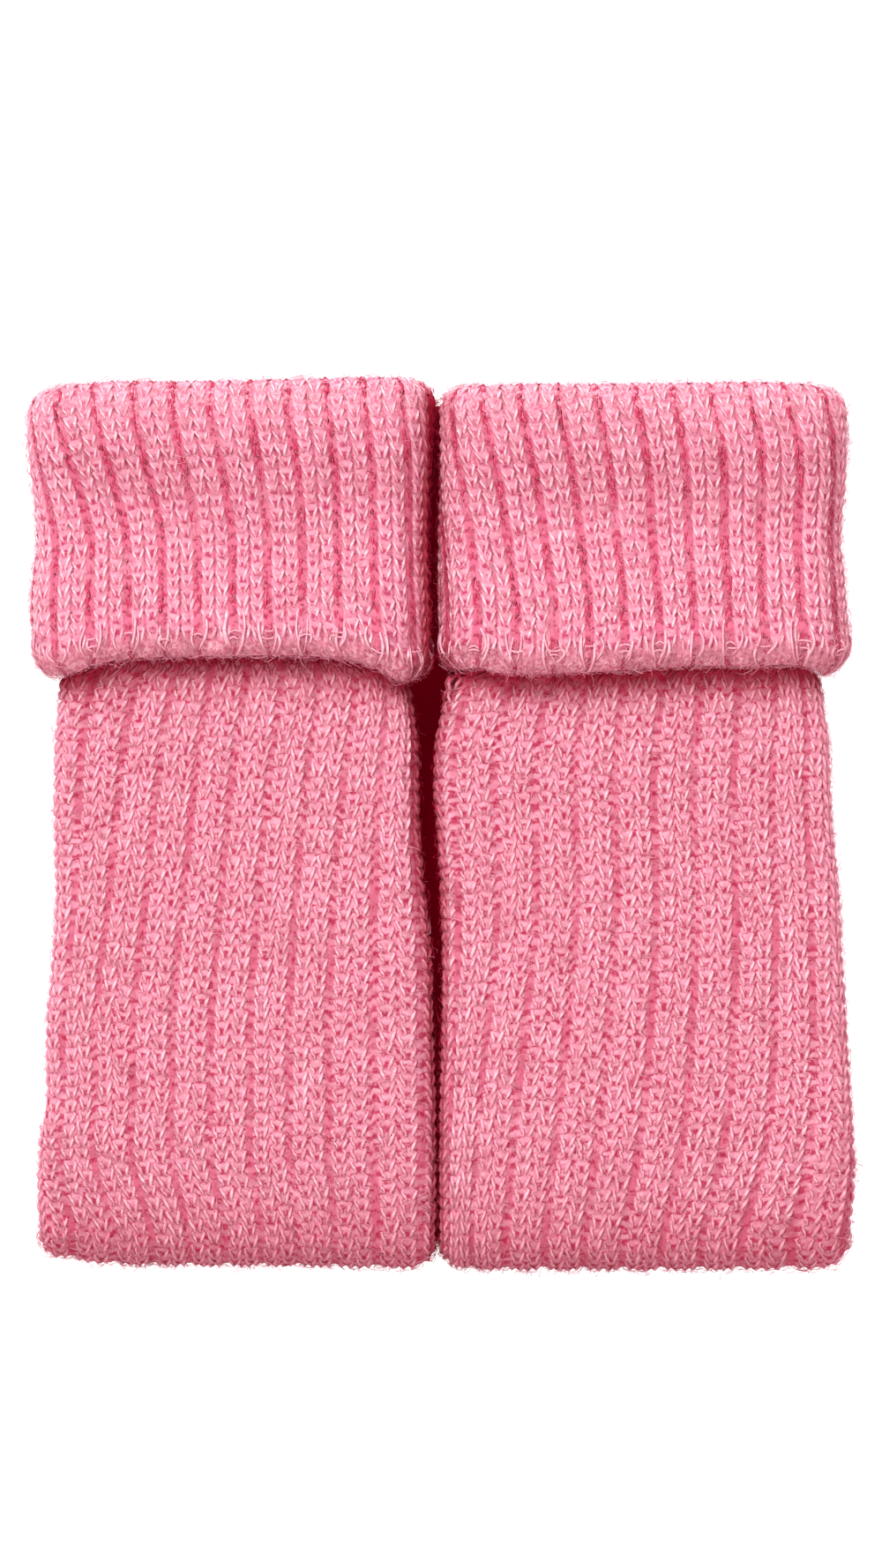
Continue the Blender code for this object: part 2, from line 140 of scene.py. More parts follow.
CUFF_THICKNESS = table(
    "y z",
    (30, 26.9), (42, 26.8), (50, 26.4), (58, 25), (68, 22.4), (77, 21), (83, 21),
    (92, 22.2), (100, 23.3), (106, 23.1), (113, 21.8), (120, 20.8),
)
LEG_BOTTOM = table(
    "y z",
    (-120, 0), (27, 0), (31, 0.8), (36, 2.4), (41.5, 3.55), (110, 3.55),
)
LEG_TOP = table(
    "y z",
    (-109.8, 17), (-103, 18), (-95, 19), (-84, 19.8), (-60, 20), (20, 20), (32, 20.2),
    (40, 20.9), (46, 21.6), (52, 19.8), (60, 16.6),
)
LOW_EDGE_Y = LOW_FOLD_Y - LEG_TOP["z"][0] / 2 - RIB_RISE["leg"]
OUTLINE = "y left right lean_left lean_right"  # the edges at each height, and the ribs' drift in each half

# %% The left leg warmer
LEFT = dict(
    leg=table(
        OUTLINE,
        (104, -98.2, -12, 5.5, 7), (60, -98.2, -12, 5.5, 7), (41.3, -98.2, -12, 5.4, 7),
        (39.4, -101.3, -8.9, 5, 6.8), (29, -102.5, -6.8, 3.8, 4.4),
        (20, -103.2, -5.8, 2.6, 2.4), (1, -103.4, -5.5, 0.6, 0.2), (-18, -102.9, -4, -2, -2.6),
        (-37, -103.9, -2.2, -4, -4.6), (-56, -105.5, -1.9, -4.6, -5),
        (-74, -105.2, -1.3, -4.8, -5.2), (-84, -107.2, -1.2, -4.4, -5),
        (-103, -107.9, -1.2, 0, -3.2), (-110, -107.5, -1.4, 1.6, -2.6),
    ),
    cuff=table(
        OUTLINE,
        (118, -109.2, -1.2, -7, -4.6), (113, -110.2, -1.2, -6.6, -4.4),
        (109, -110.6, -1.3, -6, -4), (99, -110.4, -1.6, -3.6, -2.4),
        (90, -109.4, -2.2, -1.6, -1.2), (76, -108.3, -2.6, 0.8, -0.6),
        (66, -109.4, -2.4, 2.2, -0.8), (57, -110, -2, 3, -1), (48, -109.2, -1.8, 3, -1),
        (43, -108.4, -1.8, 3, -1), (36, -106.5, -2.6, 3, -1),
    ),
    top=table(
        "x y",
        (-110, 115.9), (-105, 116.4), (-97, 117.3), (-86, 118.2), (-70, 118.2),
        (-40, 118.8), (-18, 119.3), (-6, 118.7), (0, 118),
    ),
    hem=table(
        "x y",
        (-110, 41.6), (-103.4, 39), (-97, 40.2), (-92, 41.8), (-85, 43.2), (-76, 43.9),
        (-40, 44.4), (-24, 43.2), (-17.5, 41.4), (-9.5, 37.6), (-4, 39), (-1, 41),
    ),
    low=table(
        "x y",
        (-108, -115.6), (-101, -116), (-95, -117.2), (-88, -117.9), (-70, -118.4),
        (-40, -118.5), (-8, -119), (0, -118.4),
    ),
    hollow=dict(start=(-98.0, 86.0), end=(-36.0, 70.0), width=9.0, depth=0.05),
    leg_ribs=11.5,
    first_valley=0.5,
    toward_gap=1.0,
    gap_shade={"leg": 0.75, "cuff": 1.0},
)

# %% The right leg warmer
RIGHT = dict(
    leg=table(
        OUTLINE,
        (104, 9.8, 98.6, 3.4, 6.6), (60, 9.8, 98.6, 3.4, 6.6), (41.3, 9.6, 98.6, 3.4, 6.6),
        (39.4, 1.6, 100.8, 3.4, 6.4), (29, -0.2, 102.7, 2.8, 5.2), (20, -1.8, 103.9, 2.2, 4.2),
        (10, -2.1, 104.2, 1.7, 3.6), (1, -1.3, 104.6, 1.4, 3.2), (-18, -0.3, 106.4, 0.6, 2.4),
        (-37, 0.2, 107.4, -1.4, 1.4), (-56, 0, 108.6, -3.6, 0.2),
        (-74, -0.5, 109.6, -5.6, -1.4), (-93, -0.6, 110.7, -7.6, -5.2),
        (-110, -0.6, 109.4, -8.8, -8.6),
    ),
    cuff=table(
        OUTLINE,
        (118, -0.6, 107.6, -3.6, -2), (113, -0.7, 108.6, -3.2, -1.6),
        (109, -0.7, 108.8, -2.6, -1), (99, -0.9, 108.6, -0.6, 1), (90, -1, 108.1, 1.4, 2),
        (76, -1, 107, 3.6, 2.4), (66, -1, 107.9, 5.2, 1.8), (57, -1, 108.6, 6.4, 1),
        (48, -0.9, 109.3, 6.4, 1), (43, -0.9, 108, 6.4, 1), (36, 0.2, 106.2, 6.4, 1),
    ),
    top=table(
        "x y",
        (0, 116.4), (6, 117), (14, 117.2), (23, 117.5), (50, 117.6), (84, 118),
        (94, 117.6), (103, 116.8), (109, 116),
    ),
    hem=table(
        "x y",
        (0, 41.1), (4, 40.7), (9.5, 41), (16, 39.7), (23, 39.4), (47, 40.4), (70, 41.6),
        (84, 41.4), (90, 42), (97, 41.4), (103, 39.6), (108, 41.8),
    ),
    low=table(
        "x y",
        (0, -118.2), (6.5, -119), (13, -119.5), (60, -119.5), (99, -119.2), (105, -118.4),
        (110, -117.4),
    ),
    hollow=dict(start=(26.0, 80.0), end=(92.0, 78.0), width=10.0, depth=0.05),
    leg_ribs=12.0,
    first_valley=0.25,
    toward_gap=-1.0,
    gap_shade={"leg": 0.75, "cuff": 0.45},
)
PAIR = {"left": LEFT, "right": RIGHT}

# %% [markdown]
# ## The skin that the loops are knitted on
#
# A knitted tube has two directions: along a rib, and from rib to rib. So the skin of each piece is a
# function of two parameters, `path`, the millimetres along a rib, and `rib`, a count of ribs with the
# valleys at whole numbers. Stitches laid out evenly in those two follow every fold by themselves.


# %% What both skins share
def rib_height(rib):
    """Height over the valley from 0 to 1: the sine of a half turn per rib, made fuller by a power."""
    return np.abs(np.sin(np.pi * rib)) ** RIB_ROUNDNESS


def lean(outline, y, share):
    """Drift of the ribs at height y and at a share of the way across, from its two halves' values."""
    left, right = at(outline, "lean_left", y), at(outline, "lean_right", y)
    return left + (right - left) * np.clip(share * 2 - 0.5, 0.0, 1.0)


def settle(side, x, y, z):
    """Height after the fold has settled: a low crown across, less a dent along one line of the cuff."""
    cuff, hollow = side["cuff"], side["hollow"]
    left, right = at(cuff, "left", y), at(cuff, "right", y)
    across = np.clip((2 * x - left - right) / (right - left), -1.0, 1.0)
    start, end = np.array(hollow["start"]), np.array(hollow["end"])
    along = end - start
    t = np.clip(((x - start[0]) * along[0] + (y - start[1]) * along[1]) / (along @ along), 0.0, 1.0)
    away = np.hypot(x - start[0] - t * along[0], y - start[1] - t * along[1])
    dent = hollow["depth"] * np.exp(-((away / hollow["width"]) ** 2))
    return z * (1 + CROWN * (1 - across**2) - dent)


# %% [markdown]
# ### The leg: two lobes and a fold
#
# Across, the near half runs from one side groove up round the edge, over the face and down into the other
# groove. Along, it runs down the face, half a turn round the low fold and back up underneath.

# %% The leg's skin
LEG_START_Y = 60.0  # the loops and the cloth start this high, under the cuff
FACE_LENGTH = LEG_START_Y - LOW_FOLD_Y
FOLD_RADIUS = LEG_TOP["z"][0] / 2
FOLD_LENGTH = np.pi * FOLD_RADIUS
LEG_LENGTH = 2 * FACE_LENGTH + FOLD_LENGTH


def lobe_arcs(half):
    """Lengths of the two arcs of a lobe's side: groove to widest point, and from there to the face."""
    return np.pi / 2 * np.sqrt((GROOVE_DEPTH**2 + (half / 2) ** 2) / 2), np.pi / 2 * half / 2


def lobe(distance, half):
    """A quarter ellipse out of the groove, a quarter circle up to the face, then straight across.

    Returns how far in from the widest point it is, how far from the middle plane, and its normal.
    """
    radius = half / 2
    low, high = lobe_arcs(half)
    a = np.clip(distance / low, 0, 1) * np.pi / 2
    b = np.clip((distance - low) / high, 0, 1) * np.pi / 2
    on_low, on_high = distance < low, distance < low + high
    inset = np.where(on_low, GROOVE_DEPTH * (1 - np.sin(a)), radius * (1 - np.cos(b)))
    inset = inset + np.maximum(distance - low - high, 0)
    off_middle = np.where(on_low, radius * (1 - np.cos(a)), radius * (1 + np.sin(b)))
    outward = np.where(on_low, np.sin(a), np.where(on_high, np.cos(b), 0.0))
    upward = np.where(on_low, -np.cos(a), np.where(on_high, np.sin(b), 1.0))
    return inset, off_middle, outward, upward


def leg_skin(side, path, rib):
    """Points and outward normals of the leg's skin at arrays of path (rows) and rib (columns)."""
    path, rib = np.broadcast_arrays(np.asarray(path, float), np.asarray(rib, float))
    leg, rise = side["leg"], RIB_RISE["leg"]
    turn = np.clip((path - FACE_LENGTH) / FOLD_RADIUS, 0.0, np.pi)
    past_fold = np.maximum(path - FACE_LENGTH - FOLD_LENGTH, 0.0)
    level = np.maximum(LEG_START_Y - path, LOW_FOLD_Y) + past_fold
    left, right = at(leg, "left", level) + rise, at(leg, "right", level) - rise
    bottom, top = at(LEG_BOTTOM, "z", level), at(LEG_TOP, "z", level)
    half = (top - bottom) / 2

    skin = 2 * sum(lobe_arcs(half)) + (right - left) - half
    share = (rib + side["first_valley"]) / side["leg_ribs"]
    even = share * skin
    near_groove = np.minimum(even, skin - even)
    pitch = skin / side["leg_ribs"]
    walk = even + lean(leg, level, share) * ease(near_groove / (SIDE_FADE_RIBS * pitch))

    on_left = walk < skin / 2
    inset, off_middle, outward, upward = lobe(np.minimum(walk, skin - walk), half)
    x = np.where(on_left, left + inset, right - inset)
    outward = np.where(on_left, -outward, outward)
    normal = np.stack([outward, -np.sin(turn) * upward, np.cos(turn) * upward], -1)
    uneven = at(side["low"], "y", x) - LOW_EDGE_Y
    y = level + uneven * ease(1 - (level - LOW_FOLD_Y) / LOW_EDGE_REACH) - np.sin(turn) * off_middle
    z = (top + bottom) / 2 + np.cos(turn) * off_middle

    lift = rise * rib_height(rib) * ease(near_groove / GROOVE_FADE) * ease(z / FLAT_FADE)
    points = np.stack([x, y, z], -1) + normal * lift[..., None]
    points[..., 2] = settle(side, points[..., 0], points[..., 1], np.maximum(points[..., 2], bottom))
    return points, normal


# %% [markdown]
# ### The cuff: a wall all round the leg
#
# Across, it goes right round the leg: up one side, over the face, down the other side and back underneath.
# Along, it starts inside the rolled hem, runs up the face, turns over the top and down into the mouth.

# %% The cuff's skin
HEM_RADIUS = WALL / 2
HEM_TURN = 0.8 * np.pi  # how far the skin follows the hem's roll round to the inside
TOP_RADIUS = (CUFF_THICKNESS["z"][-1] - MOUTH_SLIT) / 4
HEM_LENGTH = HEM_TURN * HEM_RADIUS
CUFF_FACE_LENGTH = 67.6
TOP_LENGTH = np.pi * TOP_RADIUS
MOUTH_LENGTH = 9.0
TOP_GUESS_Y, HEM_GUESS_Y = 118.0, 43.0  # where the search for a point's level starts
LEVEL_STEPS = 4
SIDE_START, SIDE_SPAN = 0.1875, 0.625  # shares of the height over which the hem goes from back to face
CUFF_LENGTH = HEM_LENGTH + CUFF_FACE_LENGTH + TOP_LENGTH + MOUTH_LENGTH
CUFF_ROUND = 2 * CUFF_RIBS

# How far the rolled hem stands out and how full the ribs are, along the path from the inside of the hem.
HEM_SHAPE = table(
    "path proud ribs",
    (0.0, 0.0, 0.0),
    (3.0, 0.0, 0.1),
    (6.0, 1.3, 0.5),
    (9.0, 1.0, 0.7),
    (13.0, 0.0, 0.9),
    (17.0, 0.0, 1.0),
)


def cuff_loop(rib, left, right, thick, drift):
    """The way round at one level: x, z, and the outward and upward part of the normal.

    Each side is a half circle. The ribs are evenly spaced and drift together across the face, and spread
    over what is left on the lower quarter of each side. The underside is straight.
    """
    radius = thick / 2
    quarter = np.pi / 2 * radius
    upper = right - left - 2 * radius + 2 * quarter
    below = np.maximum(np.maximum(-rib, rib - CUFF_RIBS), 0.0)
    even = np.clip(rib, 0, CUFF_RIBS) / CUFF_RIBS * upper
    even = np.where(rib < 0, rib / UNDER_RIBS * quarter, even)
    even = np.where(rib > CUFF_RIBS, upper + (rib - CUFF_RIBS) / UNDER_RIBS * quarter, even)
    walk = even + drift * ease(1 - below / UNDER_RIBS)

    angle_left = np.clip(walk / radius, -np.pi / 2, np.pi / 2)
    angle_right = np.clip((upper - walk) / radius, -np.pi / 2, np.pi / 2)
    on_left, on_right = walk < quarter, walk > upper - quarter
    x = np.where(on_left, left + radius - radius * np.cos(angle_left), left + radius + walk - quarter)
    x = np.where(on_right, right - radius + radius * np.cos(angle_right), x)
    angle = np.where(on_left, angle_left, np.where(on_right, angle_right, np.pi / 2))
    outward = np.where(on_left, -np.cos(angle_left), np.where(on_right, np.cos(angle_right), 0.0))

    under = (rib - CUFF_RIBS - UNDER_RIBS) / (CUFF_RIBS - 2 * UNDER_RIBS)
    beneath = under > 0
    x = np.where(beneath, (right - radius) + under * (left - right + thick), x)
    z = np.where(beneath, 0.0, radius + radius * np.sin(angle))
    return x, z, np.where(beneath, 0.0, outward), np.where(beneath, -1.0, np.sin(angle))


def cuff_skin(side, path, rib):
    """Points and outward normals of the cuff's skin at arrays of path (rows) and rib (columns)."""
    path, rib = np.broadcast_arrays(np.asarray(path, float), np.asarray(rib, float))
    rib = (rib + UNDER_RIBS) % CUFF_ROUND - UNDER_RIBS
    cuff, rise = side["cuff"], RIB_RISE["cuff"]
    on_face = (path - HEM_LENGTH) / CUFF_FACE_LENGTH
    hem_turn = np.minimum(path - HEM_LENGTH, 0.0) / HEM_RADIUS
    top_turn = np.clip((path - HEM_LENGTH - CUFF_FACE_LENGTH) / TOP_RADIUS, 0.0, np.pi)
    in_mouth = np.maximum(path - CUFF_LENGTH + MOUTH_LENGTH, 0.0)
    up_face = np.clip(on_face, 0.0, 1.0)
    inset = HEM_RADIUS * (1 - np.cos(hem_turn)) + TOP_RADIUS * (1 - np.cos(top_turn))
    up = (1 - up_face) * HEM_RADIUS * (1 + np.sin(hem_turn)) + up_face * TOP_RADIUS * (np.sin(top_turn) - 1)
    up = up - in_mouth

    level = up_face * TOP_GUESS_Y + (1 - up_face) * HEM_GUESS_Y + up
    for _ in range(LEVEL_STEPS):
        left, right = at(cuff, "left", level) + rise, at(cuff, "right", level) - rise
        thick = at(CUFF_THICKNESS, "z", level)
        drift = lean(cuff, level, np.clip(rib / CUFF_RIBS, 0, 1))
        x, z, outward, upward = cuff_loop(rib, left, right, thick, drift)
        hem = at(side["hem"], "y", x)
        hem = HEM_BACK_Y + (hem - HEM_BACK_Y) * ease((z / thick - SIDE_START) / SIDE_SPAN)
        top = at(side["top"], "y", x) - rise * TOP_FOLD_RIBS
        level = up_face * top + (1 - up_face) * hem + up

    face = np.stack([outward, np.zeros_like(outward), upward], -1)
    turn = (hem_turn + top_turn)[..., None]
    normal = face * np.cos(turn) + np.array([0.0, 1.0, 0.0]) * np.sin(turn)
    points = np.stack([x, level, z], -1) - face * inset[..., None]
    ribs = at(HEM_SHAPE, "ribs", path)
    ribs = ribs * smooth(top_turn, (0.0, np.pi / 2, np.pi), (1.0, TOP_FOLD_RIBS, MOUTH_RIBS))
    proud = at(HEM_SHAPE, "proud", path) * np.maximum(upward, 0)
    lift = (rise * ribs * rib_height(rib) + proud) * ease(points[..., 2] / FLAT_FADE)
    points = points + normal * lift[..., None]
    points[..., 2] = settle(side, points[..., 0], points[..., 1], points[..., 2])
    return points, normal


for name, side in PAIR.items():
    points, _ = cuff_skin(side, np.linspace(0, CUFF_LENGTH, 60)[:, None], np.linspace(-2, 22, 200)[None, :])
    print("cuff", name, "skin from", points.min((0, 1)).round(1), "to", points.max((0, 1)).round(1))

# %% [markdown]
# ## From arrays to meshes
#
# Everything below ends as one array of points and one of triangles. A few numbers go with each point for
# the material to read. On yarn they are how far it has sunk below its loop's crown, which the material
# paints as shade, a random tone for its stitch, and whether it is on a knit column or in a purl valley. On
# cloth they are how far it is from the middle of a knit column, a count of rows, and how much nap covers
# it, which at the hem is partly painted light. All have the depth of their painted shade.


# %% Make a mesh
def put_in_scene(name, data):
    """A new object of a mesh, a lamp or a camera, linked to the scene."""
    thing = bpy.data.objects.new(name, data)
    bpy.context.scene.collection.objects.link(thing)
    return thing


def make_mesh(name, points, faces, material, **attributes):
    """A mesh object from points in millimetres, triangles and one number per point for each attribute."""
    mesh = bpy.data.meshes.new(name)
    mesh.vertices.add(len(points))
    mesh.vertices.foreach_set("co", (points * MM).astype(np.float32).ravel())
    mesh.loops.add(faces.size)
    mesh.loops.foreach_set("vertex_index", faces.ravel().astype(np.int32))
    mesh.polygons.add(len(faces))
    mesh.polygons.foreach_set("loop_start", np.arange(0, faces.size, 3, dtype=np.int32))
    for key, values in attributes.items():
        layer = mesh.attributes.new(key, "FLOAT", "POINT")
        layer.data.foreach_set("value", np.broadcast_to(values, len(points)).astype(np.float32))
    mesh.update()
    mesh.validate()
    mesh.shade_smooth()
    mesh.materials.append(material)
    print(name, "has", len(mesh.polygons), "triangles")
    return put_in_scene(name, mesh)


def spread(shape, **values):
    """Each of the values as one number for every point of an array."""
    return {key: np.broadcast_to(value, shape).ravel() for key, value in values.items()}


def grid_faces(rows, columns, close_rows=False, close_columns=False):
    """Two triangles between each four neighbours of a grid of points numbered row by row."""
    r = np.arange(rows if close_rows else rows - 1)[:, None]
    c = np.arange(columns if close_columns else columns - 1)[None, :]
    next_r, next_c = (r + 1) % rows, (c + 1) % columns
    a, b = r * columns + c, next_r * columns + c
    d, e = next_r * columns + next_c, r * columns + next_c
    return np.stack(np.broadcast_arrays(a, b, d, a, d, e), -1).reshape(-1, 3)


# %% [markdown]
# ## A tube round every yarn
#
# A course of knitting is one long yarn. Its centreline is an array of points, and a ring of points round
# each makes the tube. The ring's first point looks away from the cloth, so the material can tell the
# yarn's crown from its flanks.


# %% Tubes along many lines at once
def unit(vectors):
    """Vectors made one long."""
    return vectors / np.maximum(np.linalg.norm(vectors, axis=-1, keepdims=True), 1e-9)


def rings(lines, normals, sides, flatness=1.0):
    """A ring of directions round each point of lines, an array of (line, point, 3), and its angles.

    With T along the line and N the cloth's normal squared to it, B = T x N, and at the angle a the
    direction is flatness cos(a) N + sin(a) B.
    """
    along = unit(np.gradient(lines, axis=1))
    across = unit(np.cross(along, normals))[:, :, None]
    out = np.cross(across, along[:, :, None])
    angle = np.arange(sides) * 2 * np.pi / sides
    return flatness * np.cos(angle)[:, None] * out + np.sin(angle)[:, None] * across, angle


def tubes(lines, normals, radius, sides=4):
    """Tubes along lines, a little flattened on the cloth. Returns points, triangles and ring angles."""
    count, length, _ = lines.shape
    ring, angle = rings(lines, normals, sides, flatness=0.9)
    points = lines[:, :, None] + ring * np.broadcast_to(radius, (count, length))[:, :, None, None]
    fan = np.array([[0, k, k + 1] for k in range(1, sides - 1)])
    walls, far_end = grid_faces(length, sides, close_columns=True), fan[:, ::-1] + (length - 1) * sides
    one = np.concatenate([walls, fan, far_end])
    faces = one[None] + (np.arange(count) * length * sides)[:, None, None]
    return points.reshape(-1, 3), faces.reshape(-1, 3), np.broadcast_to(angle, points.shape[:3])


# %% [markdown]
# ## The stitches of a 2x2 rib
#
# In each repeat two knit columns stand up and show their loops' arms as a chain of Vs. Two purl columns
# are squeezed into the valley between and show the loops' heads as little bumps. One formula makes both:
# along a loop, with t going once round, x = t + a sin 2t, y = -cos t and z = -cos 2t, and turning the
# sign of z turns a knit stitch into a purl one.

# %% One repeat of the rib
PURL_WIDTH = {"leg": 0.065, "cuff": 0.1}  # of each purl column, as a share of the repeat
LOOP_POINTS = {"knit": 8, "purl": 5}
CROWDING = {"knit": 0.3, "purl": -0.2}  # how far the points of a loop crowd towards its arms
COURSE = 3.4  # mm from one row of stitches to the next
LOOP_SWING = {"leg": 0.24, "cuff": 0.27}  # how far a loop's neck is pinched, as a share of its width
LOOP_REACH = {"knit": 2.7, "purl": 1.7}  # mm that a loop reaches above and below its row
LOOP_DEPTH = {"leg": 0.75, "cuff": 0.62}  # mm that a knit loop waves in and out of the cloth
PURL_DEPTH = 0.45  # mm that a purl loop does
YARN_RADIUS = {"leg": 0.58, "cuff": 0.52}
PURL_THIN = 0.85  # the purl columns' yarn, squeezed in the valley, as a share of the rest
PURL_LIFT = {"leg": 0.95, "cuff": 1.0}  # mm that the squeezed purl loops push out of the valley
YARN_SUNK = {"leg": 1.12, "cuff": 1.08}  # mm from the skin down to the middle of the yarn's wave
STITCH_SWAY, STITCH_SLIP, STITCH_TALL, STITCH_FULL = 0.022, 0.3, 0.12, 0.1  # how uneven the stitches are
TABLE_GAP = 0.04  # mm between the wool and the table
COLUMN_HALF = {kind: (0.5 - purl) / 2 for kind, purl in PURL_WIDTH.items()}  # half a knit column's width
SKIN = {"leg": (leg_skin, -1), "cuff": (cuff_skin, 1)}  # and whether its path runs down or up


def wales(kind):
    """Start, width and stitch of the four columns of a repeat."""
    purl = PURL_WIDTH[kind]
    widths = np.array([purl, 0.5 - purl, 0.5 - purl, purl])
    return np.cumsum(widths) - widths, widths, ("purl", "knit", "knit", "purl")


def course_line(kind, first, last, detail):
    """A course from rib first to last: at each point its rib place, angle t, stitch, and knit or purl."""
    ribs = np.arange(np.floor(first), np.ceil(last))
    starts, widths, stitches = wales(kind)
    place, turn, columns = [], [], []
    for number, (start, width, stitch) in enumerate(zip(starts, widths, stitches)):
        t = np.linspace(0, 2 * np.pi, max(int(LOOP_POINTS[stitch] * detail), 4), endpoint=False)
        t = t + CROWDING[stitch] * np.sin(2 * t)
        swing = LOOP_SWING[kind] * np.sin(2 * t)
        place.append(ribs[:, None] + start + width * (t / (2 * np.pi) + swing)[None, :])
        turn.append(np.broadcast_to(t, place[-1].shape))
        columns.append(np.broadcast_to(4 * (ribs[:, None] - ribs[0]) + number, place[-1].shape))
    place, turn, columns = [np.concatenate(part, 1).ravel() for part in (place, turn, columns)]
    columns = columns.astype(int)
    middle = ribs[0] + columns // 4 + (starts + widths / 2)[columns % 4]
    inside = (middle >= first) & (middle <= last)
    share = 4.0 * (np.cos(2 * np.pi * PURL_WIDTH[kind]) - np.cos(2 * np.pi * place[inside]))
    return place[inside], turn[inside], columns[inside] - columns[inside].min(), np.clip(share, -1.0, 1.0)


def row_wave(rib):
    """How far the rows drift along the path from column to column, in mm: two sines of the column."""
    column = np.floor(2 * rib)
    return 0.7 * np.sin(1.3 * column) + 0.5 * np.sin(2.7 * column + 1.0)


# Painted shade: close under a hem and towards the low fold, the rose is deepened where light falls less.
UNDER_HEM, UNDER_HEM_PAINTED_SHADE = 8.5, 1.0  # how far under a hem the rose is deeper, in mm, and by what share
FOLD_PAINTED_SHADE_Y, FOLD_PAINTED_SHADE_WIDE, FOLD_PAINTED_SHADE = -94.0, 20.0, 0.3  # the same for the low fold
FACE_HEIGHT = 8.0  # mm: from half this height up to one and a half times, a leg comes to count as its face


def painted_shade_depth(kind, side, points, normals, start=0.6, shade=None):
    """How deep the painted shade is, 0 to 1: on what faces the gap, close under the hem and at the low fold.

    Towards the gap it starts where the normal's share that way is start, and ends at shade.
    """
    if shade is None:
        shade = side["gap_shade"][kind]
    in_gap = shade * ease((normals[..., 0] * side["toward_gap"] - start) / (1 - start))
    if kind == "cuff":
        return in_gap
    hem = at(side["hem"], "y", points[..., 0])
    near_face = ease(normals[..., 2] * 2 + 1) * ease(points[..., 2] / FACE_HEIGHT - 0.5)
    under_hem = UNDER_HEM_PAINTED_SHADE * near_face * ease(1 - (hem - points[..., 1]) / UNDER_HEM)
    fold = FOLD_PAINTED_SHADE * ease((FOLD_PAINTED_SHADE_Y - points[..., 1]) / FOLD_PAINTED_SHADE_WIDE)
    return np.maximum(np.maximum(in_gap, under_hem), fold)


def knit(kind, side, rows, first, last, reach=1.0, wave=1.0, sides=4, detail=1.0):
    """Courses of stitches on the leg or the cuff, at the path places in rows."""
    place, turn, stitch, share = course_line(kind, first, last, detail)
    skin, up = SKIN[kind]
    rows = np.asarray(rows, float)
    shape = (len(rows), stitch.max() + 1)
    share = share[None, :]
    tone = RANDOM.random(shape)[:, stitch]
    sway = RANDOM.normal(0, STITCH_SWAY, shape)[:, stitch]
    slip = RANDOM.normal(0, STITCH_SLIP, shape)[:, stitch]
    tall = 1 + RANDOM.normal(0, STITCH_TALL, shape)[:, stitch]
    reach = np.where(share > 0, LOOP_REACH["knit"], LOOP_REACH["purl"]) * reach * tall
    path = rows[:, None] + slip + wave * row_wave(place) - up * reach * np.cos(turn)
    depth = np.where(share > 0, LOOP_DEPTH[kind], PURL_DEPTH)
    height = -depth * share * np.cos(2 * turn) - YARN_SUNK[kind] + PURL_LIFT[kind] * ease(-share)
    points, normals = skin(side, path, place[None, :] + sway)
    radius = YARN_RADIUS[kind] * np.where(share > 0, 1.0, PURL_THIN)
    radius = radius * (1 + STITCH_FULL * RANDOM.normal(size=shape)[:, stitch])
    mesh, faces, angle = tubes(points + normals * height[..., None], normals, radius, sides)
    mesh[:, 2] = np.maximum(mesh[:, 2], TABLE_GAP)
    deep = painted_shade_depth(kind, side, points, normals)
    # sunk: how far a point lies below its loop's crown or round the tube's flank, which the yarn's material
    # paints as shade
    sunk = (0.5 + 0.5 * share * np.cos(2 * turn))[..., None] + (1 - np.cos(angle)) / 2
    values = spread(angle.shape, sunk=sunk, deep=deep[..., None], tone=tone[..., None], knit=share[..., None])
    return mesh, faces, values


# %% [markdown]
# ## Loose hairs
#
# The cloth was brushed, so fine hairs stand off it everywhere and blur its outline. Most are short and
# straight, and each of those is a needle with one bend: a point, a ring of three and a point. Some are
# longer and curl, with two bends, each a ring of three.


# %% Hairs on a skin
HAIR_LENGTH = {1: 0.42, 2: 0.75}  # mm, a fifth of the middle length of a hair with one bend or two
HAIR_LIFT = {1: 0.2, 2: 0.3}  # mm, about half of how far it stands off
SHORTEST_HAIR, LOWEST_HAIR = 0.6, 0.1  # mm
HAIR_CURL = 0.9  # radians, about how far a hair turns from root to tip
HAIR_RADIUS = (0.05, 0.1)
RIB_WIDTH = 10.4  # mm across one repeat when the tube lies flat


